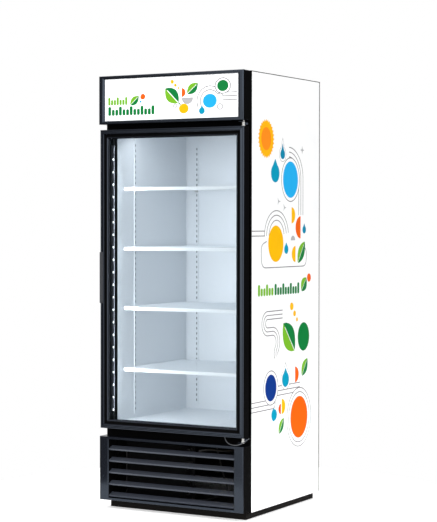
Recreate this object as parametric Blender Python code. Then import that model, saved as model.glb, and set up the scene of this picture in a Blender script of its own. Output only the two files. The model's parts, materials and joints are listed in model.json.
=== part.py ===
"""Glass door merchandiser: an upright refrigerated display cabinet with one swing door.

Metres, +Z up. X runs to the right as seen from the front, and the front faces -Y.
The origin is on the floor, under the middle of the cabinet.
"""
import itertools
import math

import bmesh
import bpy
from mathutils import Matrix, Vector

# ---- driving dimensions ----
WIDTH = 0.762
DEPTH = 0.759
HEIGHT = 1.998
SIDE = WIDTH / 2
FRONT = -DEPTH / 2
BACK = DEPTH / 2
GAP = 0.0003              # left between pieces that touch
SKIN = 0.0015             # outer sheets

# levels, from the floor up
PLINTH_TOP = 0.033
DOOR_BOTTOM = 0.372
DOOR_TOP = 1.7516
COLD_FLOOR = 0.398        # floor of the refrigerated space
OPENING_TOP = 1.725       # head of the door opening
COVER_BOTTOM = 1.755      # underside of the evaporator cover
HEADER_BOTTOM = 1.776
COLD_CEILING = 1.945
FOAM_BOTTOM = 0.3453

# planes, from the front back
DOOR_FRONT = -0.373
DOOR_BACK = -0.3235
CABINET_FRONT = -0.312
PANEL_FRONT = -0.301      # front edge of the side panels
COLD_BACK = 0.325

COLD_SIDE = 0.330         # half width of the refrigerated space
LINER = 0.002
OPENING_SIDE = 0.3295     # half width of the door opening
PLINTH_INSET = 0.0205

# door
DOOR_LEFT = -0.378
DOOR_RIGHT = 0.380
FRAME_WIDTH = 0.041
POCKET = 0.029            # how far in the glass pocket starts
HINGE_X = 0.3625
HINGE_Y = -0.345
PIN_RADIUS = 0.005
CLOSER_BORE = 0.0065
HANDLE_LOW = 0.952
HANDLE_HIGH = 1.188

# grille
GRILLE_LOW = 0.040
GRILLE_HIGH = 0.335
GRILLE_FRONT = -0.3755
GRILLE_SIDE_BAR = 0.0495
GRILLE_END_BAR = 0.012
LOUVRES = 5
LOWEST_LOUVRE = 0.060
LOUVRE_PITCH = 0.054

# shelves
SHELF_TOPS = (0.645, 0.932, 1.211, 1.490)
SHELF_SIDE = 0.3265
SHELF_FRONT = -0.250
SHELF_BACK = 0.3215
SHELF_DEEP = 0.0055       # how thick the wire deck is
SHELF_LIP = 0.016
WIRE = 0.004
SHELF_BAYS = 26
CLIP_DROP = 0.016
PILASTER = 0.0025
PILASTER_WIDTH = 0.020
SIDE_PILASTER_Y = -0.148
REAR_PILASTER_X = 0.268

FINISHES = {
    "black_paint": ((0.012, 0.014, 0.018), 0.38, 0.2),
    "black_plastic": ((0.010, 0.011, 0.013), 0.55, 0.0),
    "white_paint": ((0.86, 0.87, 0.88), 0.40, 0.1),
    "white_liner": ((0.80, 0.84, 0.88), 0.35, 0.0),
    "white_wire": ((0.85, 0.88, 0.90), 0.30, 0.1),
    "foam": ((0.78, 0.70, 0.46), 0.90, 0.0),
    "glass": ((0.80, 0.88, 0.92), 0.05, 0.0),
    "sign": ((0.93, 0.94, 0.95), 0.30, 0.0),
    "lamp": ((0.95, 0.97, 1.00), 0.30, 0.0),
    "zinc": ((0.62, 0.62, 0.60), 0.35, 0.9),
    "galvanised": ((0.45, 0.46, 0.47), 0.45, 0.9),
    "aluminium": ((0.70, 0.71, 0.72), 0.35, 0.9),
    "nylon": ((0.85, 0.85, 0.83), 0.50, 0.0),
    "rubber": ((0.015, 0.015, 0.016), 0.80, 0.0),
    "dark_iron": ((0.020, 0.020, 0.022), 0.50, 0.3),
}


# ---- helpers ----
def clear_scene():
    for item in list(bpy.data.objects):
        bpy.data.objects.remove(item, do_unlink=True)


def finish(name):
    """The Principled material of one finish, made once."""
    found = bpy.data.materials.get(name)
    if found:
        return found
    colour, roughness, metallic = FINISHES[name]
    made = bpy.data.materials.new(name)
    made.use_nodes = True
    shader = made.node_tree.nodes["Principled BSDF"]
    shader.inputs["Base Color"].default_value = (*colour, 1.0)
    shader.inputs["Roughness"].default_value = roughness
    shader.inputs["Metallic"].default_value = metallic
    return made


def add_piece(name, bm, look, pivot=None, parent=None, smooth=False):
    """Turn a bmesh in cabinet coordinates into an object whose origin is its pivot or middle."""
    bmesh.ops.recalc_face_normals(bm, faces=bm.faces)
    if pivot is None:
        low = Vector(min(v.co[i] for v in bm.verts) for i in range(3))
        high = Vector(max(v.co[i] for v in bm.verts) for i in range(3))
        pivot = (low + high) / 2
    pivot = Vector(pivot)
    bmesh.ops.translate(bm, verts=bm.verts, vec=-pivot)
    mesh = bpy.data.meshes.new(name)
    bm.to_mesh(mesh)
    bm.free()
    mesh.materials.append(finish(look))
    if smooth:
        mesh.shade_smooth()
        mesh.set_sharp_from_angle(angle=math.radians(35))
    piece = bpy.data.objects.new(name, mesh)
    piece.location = pivot
    if parent:
        piece.parent = parent
        piece.location = pivot - parent.location
    bpy.context.collection.objects.link(piece)
    return piece


def within(point, box):
    return all(low < value < high for value, low, high in zip(point, *box))


def boxes_piece(name, solids, look, voids=(), **placing):
    """One body: the boxes in solids joined together, less the boxes in voids.

    The boxes' planes cut space into cells, and the skin runs between full and empty cells.
    """
    planes = [sorted({corner[axis] for box in (*solids, *voids) for corner in box}) for axis in range(3)]
    counts = [len(values) - 1 for values in planes]

    def is_full(cell):
        if not all(0 <= place < count for place, count in zip(cell, counts)):
            return False
        middle = [(planes[axis][cell[axis]] + planes[axis][cell[axis] + 1]) / 2 for axis in range(3)]
        return any(within(middle, box) for box in solids) and not any(within(middle, box) for box in voids)

    bm = bmesh.new()
    made = {}

    def vertex(place):
        if place not in made:
            made[place] = bm.verts.new([planes[axis][place[axis]] for axis in range(3)])
        return made[place]

    for cell in itertools.product(*(range(count) for count in counts)):
        if not is_full(cell):
            continue
        for axis, side in itertools.product(range(3), (0, 1)):
            beyond = list(cell)
            beyond[axis] += 2 * side - 1
            if is_full(beyond):
                continue
            across = (axis + 1) % 3
            along = (axis + 2) % 3
            corners = []
            for step in ((0, 0), (1, 0), (1, 1), (0, 1)):
                place = list(cell)
                place[axis] += side
                place[across] += step[0]
                place[along] += step[1]
                corners.append(vertex(tuple(place)))
            bm.faces.new(corners if side else corners[::-1])
    bmesh.ops.dissolve_limit(bm, angle_limit=0.01, verts=bm.verts, edges=bm.edges)
    return add_piece(name, bm, look, **placing)


def box_piece(name, low, high, look, **placing):
    return boxes_piece(name, [(low, high)], look, **placing)


def prism_piece(name, outline, start, end, look, **placing):
    """Extrude an outline of (y, z) points along X."""
    bm = bmesh.new()
    face = bm.faces.new([bm.verts.new((start, y, z)) for y, z in outline])
    moved = bmesh.ops.extrude_face_region(bm, geom=[face])["geom"]
    bmesh.ops.translate(bm, verts=[v for v in moved if isinstance(v, bmesh.types.BMVert)], vec=(end - start, 0, 0))
    return add_piece(name, bm, look, **placing)


def turned_mesh(profile, segments, centre, axis):
    """Turn a profile of (radius, height) points about an axis through centre."""
    bm = bmesh.new()
    turn = Vector((0, 0, 1)).rotation_difference(Vector(axis)).to_matrix().to_4x4()
    rings = []
    for radius, height in profile:
        steps = range(segments if radius else 1)
        angles = [2 * math.pi * step / segments for step in steps]
        rings.append([bm.verts.new((radius * math.cos(a), radius * math.sin(a), height)) for a in angles])
    closed = all(radius for radius, _ in profile)
    for lower, upper in zip(rings, rings[1:] + rings[:1] if closed else rings[1:]):
        for step in range(segments):
            after = (step + 1) % segments
            if len(lower) == 1:
                bm.faces.new((lower[0], upper[after], upper[step]))
            elif len(upper) == 1:
                bm.faces.new((lower[step], lower[after], upper[0]))
            else:
                bm.faces.new((lower[step], lower[after], upper[after], upper[step]))
    bmesh.ops.transform(bm, matrix=Matrix.Translation(centre) @ turn, verts=bm.verts)
    return bm


def turned_piece(name, profile, centre, axis, look, segments=20, **placing):
    return add_piece(name, turned_mesh(profile, segments, centre, axis), look, smooth=True, **placing)


def rod_profile(radius, start, end):
    return [(0, start), (radius, start), (radius, end), (0, end)]


def ring_corners(rect, inset_x, inset_z, y):
    """The four corners of a rectangle in the XZ plane, drawn in from rect."""
    left, right, low, high = rect
    return [
        Vector((left + inset_x, y, low + inset_z)),
        Vector((right - inset_x, y, low + inset_z)),
        Vector((right - inset_x, y, high - inset_z)),
        Vector((left + inset_x, y, high - inset_z)),
    ]


def ring_piece(name, rect, section, look, **placing):
    """A mitred rectangular frame in one body. section holds (inset_x, inset_z, y) points."""
    bm = bmesh.new()
    loops = [[bm.verts.new(corner) for corner in ring_corners(rect, *point)] for point in section]
    for near, far in zip(loops, loops[1:] + loops[:1]):
        for side in range(4):
            after = (side + 1) % 4
            bm.faces.new((near[side], near[after], far[after], far[side]))
    return add_piece(name, bm, look, **placing)


def ring_bar(name, rect, section, side, look, **placing):
    """One mitred bar of such a frame: side 0 is the bottom, then round to the right, top and left."""
    bm = bmesh.new()
    ends = ([], [])
    for point in section:
        corners = ring_corners(rect, *point)
        start = corners[side]
        stop = corners[(side + 1) % 4]
        shift = (stop - start).normalized() * GAP / 2
        ends[0].append(bm.verts.new(start + shift))
        ends[1].append(bm.verts.new(stop - shift))
    count = len(section)
    for step in range(count):
        after = (step + 1) % count
        bm.faces.new((ends[0][step], ends[0][after], ends[1][after], ends[1][step]))
    bm.faces.new(ends[0])
    bm.faces.new(ends[1][::-1])
    return add_piece(name, bm, look, **placing)


def add_cutter(name, bm):
    """A guide shape that only cuts others."""
    cutter = add_piece(name, bm, "zinc")
    cutter.hide_render = True
    cutter.display_type = "WIRE"
    return cutter


def cut(piece, cutter):
    modifier = piece.modifiers.new("cut", "BOOLEAN")
    modifier.operation = "DIFFERENCE"
    modifier.solver = "EXACT"
    modifier.object = cutter


def rod_cutter(name, centre, axis, radius, start, end, segments=20):
    return add_cutter(name, turned_mesh(rod_profile(radius, start, end), segments, centre, axis))


# ---- cabinet shell ----
def make_base():
    """Steel base pan, open underneath, set in from the sides."""
    half = SIDE - PLINTH_INSET
    front = CABINET_FRONT
    back = BACK - PLINTH_INSET
    rail = 0.040
    deck = 0.005
    boxes_piece(
        "base_frame",
        [((-half, front, 0), (half, back, PLINTH_TOP))],
        "black_paint",
        voids=[((-half + rail, front + rail, -1), (half - rail, back - rail, PLINTH_TOP - deck))],
    )
    box_piece(
        "compartment_floor",
        (-SIDE + SKIN + GAP, PANEL_FRONT, PLINTH_TOP + GAP),
        (SIDE - SKIN - GAP, BACK - SKIN - GAP, PLINTH_TOP + GAP + 0.002),
        "galvanised",
    )


def make_skins():
    for side, name in ((-1, "side_panel_left"), (1, "side_panel_right")):
        edges = sorted((side * SIDE, side * (SIDE - SKIN)))
        box_piece(name, (edges[0], PANEL_FRONT, PLINTH_TOP + GAP), (edges[1], BACK, HEIGHT), "white_paint")
    half = SIDE - SKIN - GAP
    box_piece("top_panel", (-half, PANEL_FRONT, HEIGHT - SKIN), (half, BACK, HEIGHT), "white_paint")
    box_piece(
        "back_panel",
        (-half, BACK - SKIN, FOAM_BOTTOM),
        (half, BACK, HEIGHT - SKIN - GAP),
        "galvanised",
    )


def make_rear_grille():
    """Vented lower rear cover, with a hole for the supply gland."""
    half = SIDE - SKIN - GAP
    rows = 8
    pitch = 0.028
    voids = [((-0.330, -1, 0.050), (-0.290, 1, 0.090))]
    for left, right in ((-0.250, -0.030), (0.030, 0.250)):
        for row in range(rows):
            low = 0.085 + row * pitch
            voids.append(((left, -1, low), (right, 1, low + 0.012)))
    boxes_piece(
        "rear_grille",
        [((-half, BACK - SKIN, PLINTH_TOP + 2 * GAP + 0.002), (half, BACK, FOAM_BOTTOM - GAP))],
        "galvanised",
        voids=voids,
    )
    gland = [(0.006, 0), (0.006, 0.0053), (0.017, 0.0053), (0.017, 0.0037), (0.026, 0.0035), (0.026, 0)]
    turned_piece("power_gland", gland, (-0.310, BACK - 0.0055, 0.070), (0, 1, 0), "black_plastic", 16)


def make_insulated_body():
    """Foam between the skins, the liner tub inside it, and the wall behind the header."""
    half = SIDE - SKIN - GAP
    shell = COLD_SIDE + LINER
    back = COLD_BACK + LINER
    boxes_piece(
        "insulation_foam",
        [((-half, PANEL_FRONT, FOAM_BOTTOM), (half, BACK - SKIN - GAP, HEIGHT - SKIN - GAP))],
        "foam",
        voids=[
            (
                (-shell - GAP, -1, COLD_FLOOR - LINER - GAP),
                (shell + GAP, back + GAP, COLD_CEILING + LINER + GAP),
            )
        ],
    )
    boxes_piece(
        "inner_liner",
        [((-shell, PANEL_FRONT, COLD_FLOOR - LINER), (shell, back, COLD_CEILING + LINER))],
        "white_liner",
        voids=[((-COLD_SIDE, -1, COLD_FLOOR), (COLD_SIDE, COLD_BACK, COLD_CEILING))],
    )
    box_piece(
        "header_wall",
        (-COLD_SIDE + GAP, PANEL_FRONT, 1.740),
        (COLD_SIDE - GAP, -0.255, COLD_CEILING - GAP),
        "white_liner",
    )


def make_front_frame():
    """Black front frame round the door opening and the grille opening."""
    boxes_piece(
        "front_frame",
        [((-SIDE, CABINET_FRONT, PLINTH_TOP + GAP), (SIDE, PANEL_FRONT - GAP, HEIGHT))],
        "black_paint",
        voids=[
            ((-OPENING_SIDE, -1, COLD_FLOOR), (OPENING_SIDE, 1, OPENING_TOP)),
            ((-OPENING_SIDE, -1, 0.055), (OPENING_SIDE, 1, 0.320)),
        ],
    )


# ---- header ----
def make_header():
    bezel_back = FRONT + 0.008
    box_front = bezel_back + GAP
    box_back = CABINET_FRONT - GAP
    wall = 0.002
    boxes_piece(
        "header_box",
        [((-SIDE, box_front, HEADER_BOTTOM), (SIDE, box_back, HEIGHT))],
        "black_paint",
        voids=[((-SIDE + wall, -1, HEADER_BOTTOM + wall), (SIDE - wall, box_back - wall, HEIGHT - wall))],
    )
    rect = (-SIDE, SIDE, HEADER_BOTTOM, HEIGHT)
    section = [
        (0, 0, bezel_back),
        (0, 0, FRONT + 0.0015),
        (0.0015, 0.0015, FRONT),
        (0.0255, 0.0115, FRONT),
        (0.0300, 0.0155, FRONT + 0.0045),
        (0.0300, 0.0155, bezel_back),
    ]
    ring_piece("header_bezel", rect, section, "black_paint")
    inset = wall + 0.0005
    box_piece(
        "sign_panel",
        (-SIDE + inset, box_front, HEADER_BOTTOM + inset),
        (SIDE - inset, box_front + 0.003, HEIGHT - inset),
        "sign",
    )
    turned_piece("header_lamp", rod_profile(0.008, 0, 0.640), (-0.320, -0.338, 1.955), (1, 0, 0), "lamp", 12)


# ---- grille ----
def make_grille():
    rect = (-SIDE, SIDE, GRILLE_LOW, GRILLE_HIGH)
    bevel = 0.002
    back = CABINET_FRONT - GAP
    section = [
        (0, 0, back),
        (0, 0, GRILLE_FRONT + bevel),
        (bevel, bevel, GRILLE_FRONT),
        (GRILLE_SIDE_BAR - bevel, GRILLE_END_BAR - bevel, GRILLE_FRONT),
        (GRILLE_SIDE_BAR, GRILLE_END_BAR, GRILLE_FRONT + bevel),
        (GRILLE_SIDE_BAR, GRILLE_END_BAR, back),
    ]
    ring_piece("grille_frame", rect, section, "black_paint")
    reach = SIDE - GRILLE_SIDE_BAR - GAP
    lip = GRILLE_FRONT + 0.003
    for step in range(LOUVRES):
        level = LOWEST_LOUVRE + step * LOUVRE_PITCH
        outline = [
            (lip, level - 0.004),
            (lip, level + 0.001),
            (lip + 0.0275, level + 0.0165),
            (lip + 0.0275, level + 0.0145),
            (lip + 0.0025, level),
            (lip + 0.0020, level - 0.004),
        ]
        prism_piece(f"louvre_{step + 1}", outline, -reach, reach, "black_paint")


# ---- fans ----
def fan_mesh(radius, hub, deep, blades):
    """A hub whose flanks are drawn out into pitched blades, turning about Z at the origin."""
    per_blade = 4
    blade_thick = 0.0025
    bm = turned_mesh(rod_profile(hub, -deep / 2, deep / 2), blades * per_blade, (0, 0, 0), (0, 0, 1))
    flanks = [face for face in bm.faces if abs(face.calc_center_median().z) < deep / 4]
    flanks.sort(key=lambda face: math.atan2(face.calc_center_median().y, face.calc_center_median().x))
    for face in flanks[::per_blade]:
        centre = face.calc_center_median()
        heading = Vector((centre.x, centre.y, 0)).normalized()
        tangent = Vector((-heading.y, heading.x, 0))
        near = list(face.verts)
        corners = [(1 if v.co.dot(tangent) > 0 else -1, 1 if v.co.z > 0 else -1) for v in near]
        bm.faces.remove(face)
        for reach, chord, pitch in ((0.15, 0.25, 38), (0.6, 0.55, 30), (1.0, 0.70, 24)):
            slope = math.radians(pitch)
            lean = tangent * math.cos(slope) + Vector((0, 0, math.sin(slope)))
            skin = Vector((0, 0, math.cos(slope))) - tangent * math.sin(slope)
            middle = heading * (hub + (radius - hub) * reach)
            far = [
                bm.verts.new(middle + lean * across * chord * radius / 2 + skin * upper * blade_thick / 2)
                for across, upper in corners
            ]
            for step in range(4):
                after = (step + 1) % 4
                bm.faces.new((near[step], near[after], far[after], far[step]))
            near = far
        bm.faces.new(near)
    return bm


def fan_piece(name, radius, hub, deep, centre, axis):
    bm = fan_mesh(radius, hub, deep, 4)
    turn = Vector((0, 0, 1)).rotation_difference(Vector(axis)).to_matrix().to_4x4()
    bmesh.ops.transform(bm, matrix=Matrix.Translation(centre) @ turn, verts=bm.verts)
    add_piece(name, bm, "aluminium", pivot=centre)


# ---- machine compartment ----
def make_condensing_unit():
    floor = PLINTH_TOP + 0.002 + 2 * GAP
    fan_x = -0.125
    fan_z = 0.185
    left = -0.300
    right = 0.050
    fins = 14
    pitch = (right - left) / fins
    slots = [
        ((left + (n + 0.3) * pitch, -1, 0.085), (left + (n + 0.7) * pitch, 1, 0.290)) for n in range(fins)
    ]
    boxes_piece(
        "condenser_coil", [((left, -0.285, floor), (right, -0.240, 0.305))], "aluminium", voids=slots
    )
    shroud = box_piece("fan_shroud", (left, -0.236, floor), (right, -0.233, 0.310), "galvanised")
    cut(shroud, rod_cutter("fan_shroud_hole", (fan_x, -0.2345, fan_z), (0, 1, 0), 0.106, -0.02, 0.02, 24))
    fan_piece("condenser_fan_blade", 0.100, 0.022, 0.020, (fan_x, -0.2020, fan_z), (0, 1, 0))
    body = 0.032
    post = 0.012
    boxes_piece(
        "condenser_fan_motor",
        [
            ((fan_x - body, -0.190, fan_z - body), (fan_x + body, -0.130, fan_z + body)),
            ((fan_x - post, -0.172, floor), (fan_x + post, -0.148, fan_z - body)),
        ],
        "dark_iron",
    )
    dome = [
        (0, 0),
        (0.055, 0),
        (0.080, 0.024),
        (0.083, 0.085),
        (0.080, 0.140),
        (0.060, 0.175),
        (0.025, 0.193),
        (0, 0.195),
    ]
    turned_piece("compressor", dome, (0.200, 0.080, floor), (0, 0, 1), "dark_iron", 20)
    boxes_piece(
        "condensate_pan",
        [((left, 0.100, floor), (right, 0.340, 0.075))],
        "black_plastic",
        voids=[((left + 0.002, 0.102, floor + 0.002), (right - 0.002, 0.338, 1))],
    )


# ---- evaporator section ----
def make_evaporator():
    low = COVER_BOTTOM
    sheet = 0.002
    half = SHELF_SIDE
    front = -0.2545
    fan_y = -0.140
    switch = (-0.140, -0.190)
    voids = [((-0.28, 0.280, low - 1), (0.28, 0.310, low + 0.010))]
    for row in range(5):
        y = fan_y - 0.060 + row * 0.026
        voids.append(((-0.060, y, low - 1), (0.060, y + 0.016, low + 0.010)))
    voids.append(
        ((switch[0] - 0.0145, switch[1] - 0.0085, low - 1), (switch[0] + 0.0145, switch[1] + 0.0085, low + 0.010))
    )
    boxes_piece(
        "evaporator_cover",
        [
            ((-half, front, low), (half, SHELF_BACK, low + sheet)),
            ((-half, front, low), (half, front + sheet, low + 0.030)),
        ],
        "white_paint",
        voids=voids,
    )
    fins = 12
    pitch = 0.56 / fins
    slots = [
        ((-0.28 + (n + 0.3) * pitch, -1, 1.790), (-0.28 + (n + 0.7) * pitch, 1, 1.905)) for n in range(fins)
    ]
    boxes_piece("evaporator_coil", [((-0.28, 0.000, 1.775), (0.28, 0.220, 1.920))], "aluminium", voids=slots)
    fan_piece("evaporator_fan_blade", 0.064, 0.016, 0.016, (0, fan_y, 1.776), (0, 0, 1))
    body = 0.030
    post = 0.010
    boxes_piece(
        "evaporator_fan_motor",
        [
            ((-body, fan_y - body, 1.786), (body, fan_y + body, 1.850)),
            ((-post, fan_y - post, 1.850), (post, fan_y + post, COLD_CEILING - GAP)),
        ],
        "dark_iron",
    )
    dial = (-0.220, -0.190, low - GAP)
    turned_piece(
        "thermostat_dial", [(0, -0.017), (0.016, -0.017), (0.018, 0), (0, 0)], dial, (0, 0, 1), "black_plastic", 16,
        pivot=dial,
    )
    box_piece(
        "light_switch",
        (switch[0] - 0.012, switch[1] - 0.0075, low - 0.008),
        (switch[0] + 0.012, switch[1] + 0.0075, low + 0.008),
        "black_plastic",
        pivot=(*switch, low + sheet / 2),
    )


# ---- shelves ----
def make_pilasters():
    low = COLD_FLOOR + 0.022
    high = COVER_BOTTOM - 0.025
    reach = 0.0112
    wide = PILASTER_WIDTH / 2
    narrow = wide - 0.002
    for side, where in ((-1, "left"), (1, "right")):
        wall = side * (COLD_SIDE - GAP)
        face = wall - side * PILASTER
        tip = face - side * reach
        y = SIDE_PILASTER_Y
        strip = (sorted((wall, face)), (y - wide, y + wide))
        solids = [((strip[0][0], strip[1][0], low), (strip[0][1], strip[1][1], high))]
        clip = sorted((face, tip))
        for top in SHELF_TOPS:
            solids.append(((clip[0], y - narrow, top - CLIP_DROP), (clip[1], y + narrow, top - SHELF_DEEP - GAP)))
        boxes_piece(f"pilaster_front_{where}", solids, "galvanised")
        x = side * REAR_PILASTER_X
        back = COLD_BACK - GAP
        solids = [((x - wide, back - PILASTER, low), (x + wide, back, high))]
        for top in SHELF_TOPS:
            solids.append(
                (
                    (x - narrow, back - PILASTER - reach, top - CLIP_DROP),
                    (x + narrow, back - PILASTER, top - SHELF_DEEP - GAP),
                )
            )
        boxes_piece(f"pilaster_rear_{where}", solids, "galvanised")


def make_shelves():
    """Wire shelves: front-to-back wires between a deep front lip and a rear bar."""
    pitch = (2 * SHELF_SIDE - WIRE) / SHELF_BAYS
    for number, top in enumerate(SHELF_TOPS, 1):
        bays = []
        for bay in range(SHELF_BAYS):
            left = -SHELF_SIDE + WIRE + bay * pitch
            bays.append(((left, SHELF_FRONT + WIRE, 0), (left + pitch - WIRE, SHELF_BACK - WIRE, HEIGHT)))
        boxes_piece(
            f"shelf_{number}",
            [
                ((-SHELF_SIDE, SHELF_FRONT, top - SHELF_DEEP), (SHELF_SIDE, SHELF_BACK, top)),
                ((-SHELF_SIDE, SHELF_FRONT, top - SHELF_LIP), (SHELF_SIDE, SHELF_FRONT + WIRE, top)),
            ],
            "white_wire",
            voids=bays,
        )


# ---- door ----
def add_hinge_axis():
    """Empty on the hinge line, which carries every piece of the door."""
    axis = bpy.data.objects.new("door_hinge_axis", None)
    axis.location = (HINGE_X, HINGE_Y, DOOR_BOTTOM)
    bpy.context.collection.objects.link(axis)
    bpy.context.view_layer.update()
    return axis


def make_door_frame(axis):
    """Four mitred extrusions with a pocket for the glass unit on their inner side."""
    rect = (DOOR_LEFT, DOOR_RIGHT, DOOR_BOTTOM, DOOR_TOP)
    pocket_front = -0.3648
    pocket_back = -0.3436
    outline = [
        (0, DOOR_BACK),
        (0, DOOR_FRONT + 0.003),
        (0.003, DOOR_FRONT),
        (0.019, DOOR_FRONT),
        (0.027, DOOR_FRONT + 0.0045),
        (FRAME_WIDTH, DOOR_FRONT + 0.0058),
        (FRAME_WIDTH, pocket_front),
        (POCKET, pocket_front),
        (POCKET, pocket_back),
        (FRAME_WIDTH, pocket_back),
        (FRAME_WIDTH, DOOR_BACK),
    ]
    section = [(inset, inset, y) for inset, y in outline]
    names = ("door_rail_bottom", "door_stile_right", "door_rail_top", "door_stile_left")
    bars = [ring_bar(name, rect, section, side, "black_paint", parent=axis) for side, name in enumerate(names)]
    notch = bmesh.new()
    bmesh.ops.create_cube(notch, size=1)
    bmesh.ops.transform(notch, matrix=Matrix.Diagonal((0.030, 0.045, HANDLE_HIGH - HANDLE_LOW + 2 * GAP, 1)),
                        verts=notch.verts)
    middle = (-0.3917 + GAP + 0.0147, -0.3522 - GAP, (HANDLE_LOW + HANDLE_HIGH) / 2)
    bmesh.ops.translate(notch, verts=notch.verts, vec=middle)
    cut(bars[3], add_cutter("handle_notch", notch))
    up = (0, 0, 1)
    lower = rod_cutter("closer_bore", (HINGE_X, HINGE_Y, DOOR_BOTTOM), up, CLOSER_BORE, -0.010, 0.130, 16)
    upper = rod_cutter("pivot_bore", (HINGE_X, HINGE_Y, DOOR_TOP), up, PIN_RADIUS + GAP, -0.0155, 0.010, 16)
    for bar, bore in ((0, lower), (1, lower), (1, upper), (2, upper)):
        cut(bars[bar], bore)


def make_glass(axis):
    edge = POCKET + GAP
    left, right = DOOR_LEFT + edge, DOOR_RIGHT - edge
    low, high = DOOR_BOTTOM + edge, DOOR_TOP - edge
    pane = 0.004
    front = -0.3645
    space = 0.012
    box_piece("glass_outer", (left, front, low), (right, front + pane, high), "glass", parent=axis)
    inner = front + pane + space + 2 * GAP
    box_piece("glass_inner", (left, inner, low), (right, inner + pane, high), "glass", parent=axis)
    start = front + pane + GAP
    bar = 0.009
    section = [(0, 0, start), (bar, bar, start), (bar, bar, start + space), (0, 0, start + space)]
    ring_piece("glass_spacer", (left, right, low, high), section, "aluminium", parent=axis)


def make_door_fittings(axis):
    seal = (-0.351, 0.353, 0.384, 1.7395)
    wide = 0.013
    lip = 0.002
    back = CABINET_FRONT - GAP
    front = DOOR_BACK + GAP
    section = [
        (0, 0, front),
        (0, 0, back - lip),
        (lip, lip, back),
        (wide - lip, wide - lip, back),
        (wide, wide, back - lip),
        (wide, wide, front),
    ]
    ring_piece("door_gasket", seal, section, "rubber", parent=axis)
    inside = DOOR_LEFT + FRAME_WIDTH + GAP
    box_piece("led_channel", (inside, -0.3425, 0.450), (inside + 0.0095, -0.3300, 1.680), "lamp", parent=axis)
    boxes_piece(
        "door_handle",
        [((-SIDE, -0.3745, HANDLE_LOW), (-0.3622, -0.3300, HANDLE_HIGH))],
        "black_plastic",
        voids=[((-1, -0.3560, HANDLE_LOW + 0.010), (-0.3640, -0.3320, HANDLE_HIGH - 0.010))],
        parent=axis,
    )
    turned_piece(
        "closer_cartridge",
        rod_profile(CLOSER_BORE - GAP, 0.0025, 0.127),
        (HINGE_X, HINGE_Y, DOOR_BOTTOM),
        (0, 0, 1),
        "zinc",
        16,
        parent=axis,
    )


def make_hinges():
    """Fixed plates with their pins and the nylon bushes that the door turns on."""
    plate = 0.0035
    flange = 0.0027
    back = CABINET_FRONT - GAP
    levels = (("bottom", 0.3480, 0.3480, 0.3640), ("top", 1.7690, 1.7580, 1.7725))
    for where, low, flange_low, flange_high in levels:
        bracket = boxes_piece(
            f"hinge_bracket_{where}",
            [
                ((0.345, -0.360, low), (0.369, back, low + plate)),
                ((0.345, back - flange, flange_low), (0.369, back, flange_high)),
            ],
            "zinc",
        )
        hole = rod_cutter(f"{where}_hole", (HINGE_X, HINGE_Y, low), (0, 0, 1), PIN_RADIUS + GAP, -0.010, 0.015, 16)
        cut(bracket, hole)
    pin_ends = {"bottom": (0.3465, DOOR_BOTTOM + 0.002), "top": (DOOR_TOP - 0.0140, 1.7740)}
    bush_ends = {"bottom": (0.3515 + GAP, DOOR_BOTTOM - GAP), "top": (DOOR_TOP + GAP, 1.7690 - GAP)}
    for where in ("bottom", "top"):
        centre = (HINGE_X, HINGE_Y, 0)
        turned_piece(f"hinge_pin_{where}", rod_profile(PIN_RADIUS, *pin_ends[where]), centre, (0, 0, 1), "zinc", 16)
        low, high = bush_ends[where]
        bore = PIN_RADIUS + GAP
        outer = 0.009
        sleeve = [(bore, low), (outer, low), (outer, high), (bore, high)]
        turned_piece(f"hinge_bush_{where}", sleeve, centre, (0, 0, 1), "nylon", 16)


def smooth_route(points, per_span):
    """Points along a Catmull-Rom curve through the route's own points."""
    ends = [points[0] * 2 - points[1], *points, points[-1] * 2 - points[-2]]
    route = []
    for before, start, stop, after in zip(ends, ends[1:], ends[2:], ends[3:]):
        for step in range(per_span):
            t = step / per_span
            route.append(
                0.5
                * (
                    2 * start
                    + (stop - before) * t
                    + (2 * before - 5 * start + 4 * stop - after) * t**2
                    + (3 * start - before - 3 * stop + after) * t**3
                )
            )
    return [*route, points[-1]]


def make_door_lead():
    """Lead from the underside of the door, under the lower hinge, to the front frame."""
    stations = (
        (0.2700, -0.3450, DOOR_BOTTOM - GAP),
        (0.2725, -0.3465, 0.3620),
        (0.2860, -0.3520, 0.3470),
        (0.3090, -0.3600, 0.3395),
        (0.3350, -0.3665, 0.3390),
        (0.3550, -0.3680, 0.3430),
        (0.3685, -0.3655, 0.3490),
        (0.3758, -0.3550, 0.3550),
        (0.3768, -0.3370, 0.3610),
        (0.3755, -0.3125, 0.3650),
    )
    route = smooth_route([Vector(point) for point in stations], 2)
    curve = bpy.data.curves.new("door_lead", "CURVE")
    curve.dimensions = "3D"
    curve.bevel_depth = 0.0022
    curve.bevel_resolution = 2
    curve.use_fill_caps = True
    spline = curve.splines.new("POLY")
    spline.points.add(len(route) - 1)
    for point, place in zip(spline.points, route):
        point.co = (*place, 1)
    curve.materials.append(finish("rubber"))
    bpy.context.collection.objects.link(bpy.data.objects.new("door_lead", curve))


def main():
    clear_scene()
    make_base()
    make_skins()
    make_rear_grille()
    make_insulated_body()
    make_front_frame()
    make_header()
    make_grille()
    make_condensing_unit()
    make_evaporator()
    make_pilasters()
    make_shelves()
    axis = add_hinge_axis()
    make_door_frame(axis)
    make_glass(axis)
    make_door_fittings(axis)
    make_hinges()
    make_door_lead()


main()
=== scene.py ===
"""Looks of the glass door merchandiser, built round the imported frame.

Metres, +Z up, front to -Y. Every piece is made where the frame says that it goes.
"""
import json
import math

import bmesh
import bpy
from mathutils import Matrix, Vector
from mathutils.geometry import delaunay_2d_cdt

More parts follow.
